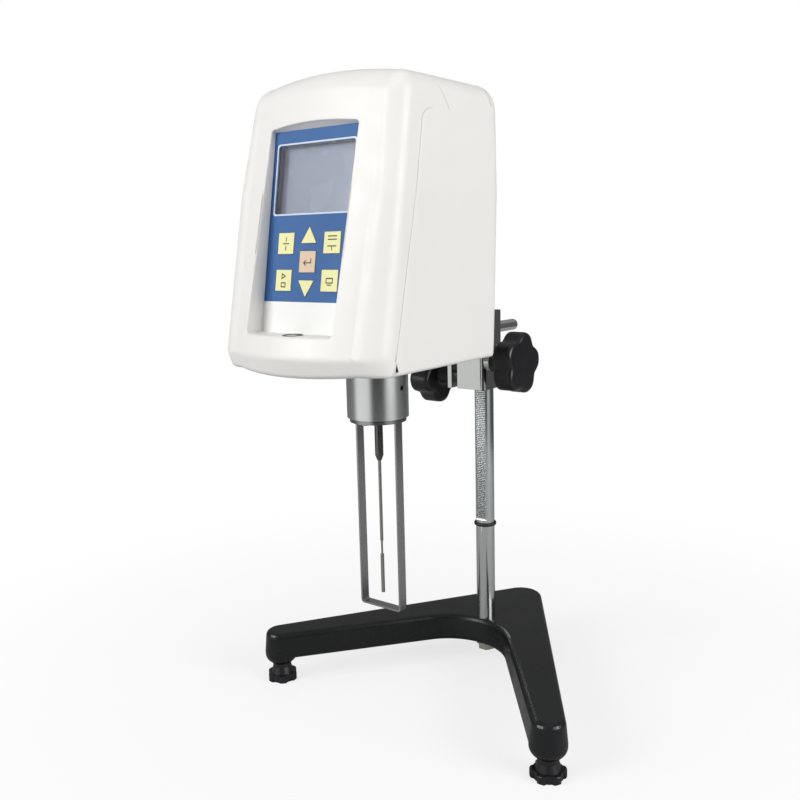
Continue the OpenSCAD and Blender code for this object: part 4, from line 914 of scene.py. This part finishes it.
class VISCO_OT_stage(bpy.types.Operator):
    """Floor, lamps, world and camera"""

    bl_idname = "viscometer.stage"
    bl_label = "Stage"

    def floor(self):
        """Round pale floor whose shading fades into the backdrop's white away from the object"""
        s = Shader("pale floor")
        s.put(Roughness=0.9)
        path = s.add("ShaderNodeLightPath")
        seen = path.outputs["Is Camera Ray"]
        s.link(s.mix(seen, FLOOR_BOUNCE, FLOOR_COLOUR), s.bsdf.inputs["Base Color"])
        glow = s.add("ShaderNodeEmission")
        glow.inputs["Color"].default_value = (*BACKDROP, 1)
        away = s.add("ShaderNodeVectorMath", operation="LENGTH")
        s.link(s.coords.outputs["Object"], away.inputs[0])
        fade = s.add("ShaderNodeMapRange", interpolation_type="SMOOTHSTEP")
        for name, value in FADE:
            fade.inputs[name].default_value = value
        s.link(away.outputs["Value"], fade.inputs["Value"])
        mix = s.add("ShaderNodeMixShader")
        s.link(s.times(seen, fade.outputs["Result"]), mix.inputs[0])
        s.link(s.bsdf.outputs[0], mix.inputs[1])
        s.link(glow.outputs[0], mix.inputs[2])
        s.link(mix.outputs[0], s.nodes["Material Output"].inputs["Surface"])
        a = np.linspace(0, 2 * math.pi, FLOOR_POINTS + 1)[:-1]
        rim = np.stack([FLOOR_R * np.cos(a), FLOOR_R * np.sin(a), np.zeros(FLOOR_POINTS)], 1)
        mesh = bpy.data.meshes.new("floor")
        mesh.from_pydata(rim.tolist(), [], [list(range(FLOOR_POINTS))])
        mesh.materials.append(s.mat)
        plane = bpy.data.objects.new("floor", mesh)
        bpy.context.scene.collection.objects.link(plane)

    def world(self):
        """White backdrop, and round the object a studio of pale screens with dark gaps between them"""
        world = bpy.data.worlds.new("studio")
        bpy.context.scene.world = world
        world.use_nodes = True
        nodes, links = world.node_tree.nodes, world.node_tree.links
        coords = nodes.new("ShaderNodeTexCoord")
        turn = nodes.new("ShaderNodeTexGradient")
        turn.gradient_type = "RADIAL"
        links.new(coords.outputs["Generated"], turn.inputs["Vector"])
        screens = nodes.new("ShaderNodeValToRGB")
        ramp = screens.color_ramp
        while len(ramp.elements) > 1:
            ramp.elements.remove(ramp.elements[-1])
        ramp.elements[0].position = 0.0
        for place, level in SCREENS:
            stop = ramp.elements.new(place) if place > 0 else ramp.elements[0]
            stop.color = (level, level, level, 1)
        links.new(turn.outputs["Fac"], screens.inputs["Fac"])
        back = nodes["Background"]
        height = nodes.new("ShaderNodeSeparateXYZ")
        links.new(coords.outputs["Generated"], height.inputs[0])
        rise = nodes.new("ShaderNodeMapRange")
        rise.inputs["From Min"].default_value = CEILING_FROM
        rise.inputs["From Max"].default_value = CEILING_TO
        links.new(height.outputs["Z"], rise.inputs["Value"])
        ceiling = nodes.new("ShaderNodeMix")
        ceiling.data_type = "RGBA"
        links.new(rise.outputs["Result"], ceiling.inputs["Factor"])
        links.new(screens.outputs["Color"], ceiling.inputs["A"])
        ceiling.inputs["B"].default_value = (*CEILING, 1)
        links.new(ceiling.outputs["Result"], back.inputs["Color"])
        back.inputs["Strength"].default_value = STUDIO_LEVEL
        seen = nodes.new("ShaderNodeBackground")
        seen.inputs["Color"].default_value = (*BACKDROP, 1)
        seen.inputs["Strength"].default_value = 1.0
        path = nodes.new("ShaderNodeLightPath")
        mix = nodes.new("ShaderNodeMixShader")
        links.new(path.outputs["Is Camera Ray"], mix.inputs[0])
        links.new(back.outputs[0], mix.inputs[1])
        links.new(seen.outputs[0], mix.inputs[2])
        links.new(mix.outputs[0], nodes["World Output"].inputs["Surface"])

    def lamp(self, name, place, size, power):
        data = bpy.data.lights.new(name, "AREA")
        data.energy = power
        data.size = size
        obj = bpy.data.objects.new(name, data)
        bpy.context.scene.collection.objects.link(obj)
        obj.location = place
        obj.rotation_euler = (Vector(LAMPS_AIM) - Vector(place)).to_track_quat("-Z", "Y").to_euler()

    def camera(self):
        """Camera turned by yaw, tipped by pitch and then rolled about its own line of sight"""
        yaw, pitch, roll = CAMERA_YAW, CAMERA_PITCH, CAMERA_ROLL
        fwd = np.array([-math.sin(yaw) * math.cos(pitch), math.cos(yaw) * math.cos(pitch), -math.sin(pitch)])
        right = np.array([math.cos(yaw), math.sin(yaw), 0.0])
        up = np.cross(right, fwd)
        x_axis = math.cos(roll) * right + math.sin(roll) * up
        y_axis = -math.sin(roll) * right + math.cos(roll) * up
        data = bpy.data.cameras.new("camera")
        data.sensor_width = SENSOR_MM
        data.lens = FOCAL_PIXELS * SENSOR_MM / VIEW_PIXELS
        data.clip_start = 0.01
        obj = bpy.data.objects.new("camera", data)
        bpy.context.scene.collection.objects.link(obj)
        turned = Matrix([[x_axis[i], y_axis[i], -fwd[i], 0] for i in range(3)] + [[0, 0, 0, 1]])
        x, y, z = CAMERA_PLACE
        turned.translation = (x * MM, (y + ROD_Y) * MM, z * MM)
        obj.matrix_world = turned
        bpy.context.scene.camera = obj

    def execute(self, context):
        self.floor()
        self.world()
        for values in LAMPS:
            self.lamp(*values)
        self.camera()
        bpy.context.scene.view_settings.view_transform = "Standard"
        return {"FINISHED"}


class VISCO_PT_panel(bpy.types.Panel):
    """Buttons for every step"""

    bl_label = "Viscometer"
    bl_space_type = "VIEW_3D"
    bl_region_type = "UI"
    bl_category = "Viscometer"

    def draw(self, context):
        for step in STEPS:
            self.layout.operator(step.bl_idname)


STEPS = (
    VISCO_OT_finish_nodes, VISCO_OT_covers, VISCO_OT_stop_ring, VISCO_OT_knobs, VISCO_OT_key_marks,
    VISCO_OT_stage,
)
CLASSES = (HeadSizes, Finishes) + STEPS + (VISCO_PT_panel,)


def register():
    for cls in CLASSES:
        bpy.utils.register_class(cls)
    bpy.types.Scene.viscometer_head = bpy.props.PointerProperty(type=HeadSizes)
    bpy.types.Scene.viscometer_finish = bpy.props.PointerProperty(type=Finishes)


def unregister():
    del bpy.types.Scene.viscometer_finish
    del bpy.types.Scene.viscometer_head
    for cls in reversed(CLASSES):
        bpy.utils.unregister_class(cls)


def main():
    register()
    for step in STEPS:
        group, name = step.bl_idname.split(".")
        getattr(getattr(bpy.ops, group), name)()


if __name__ == "__main__":
    main()
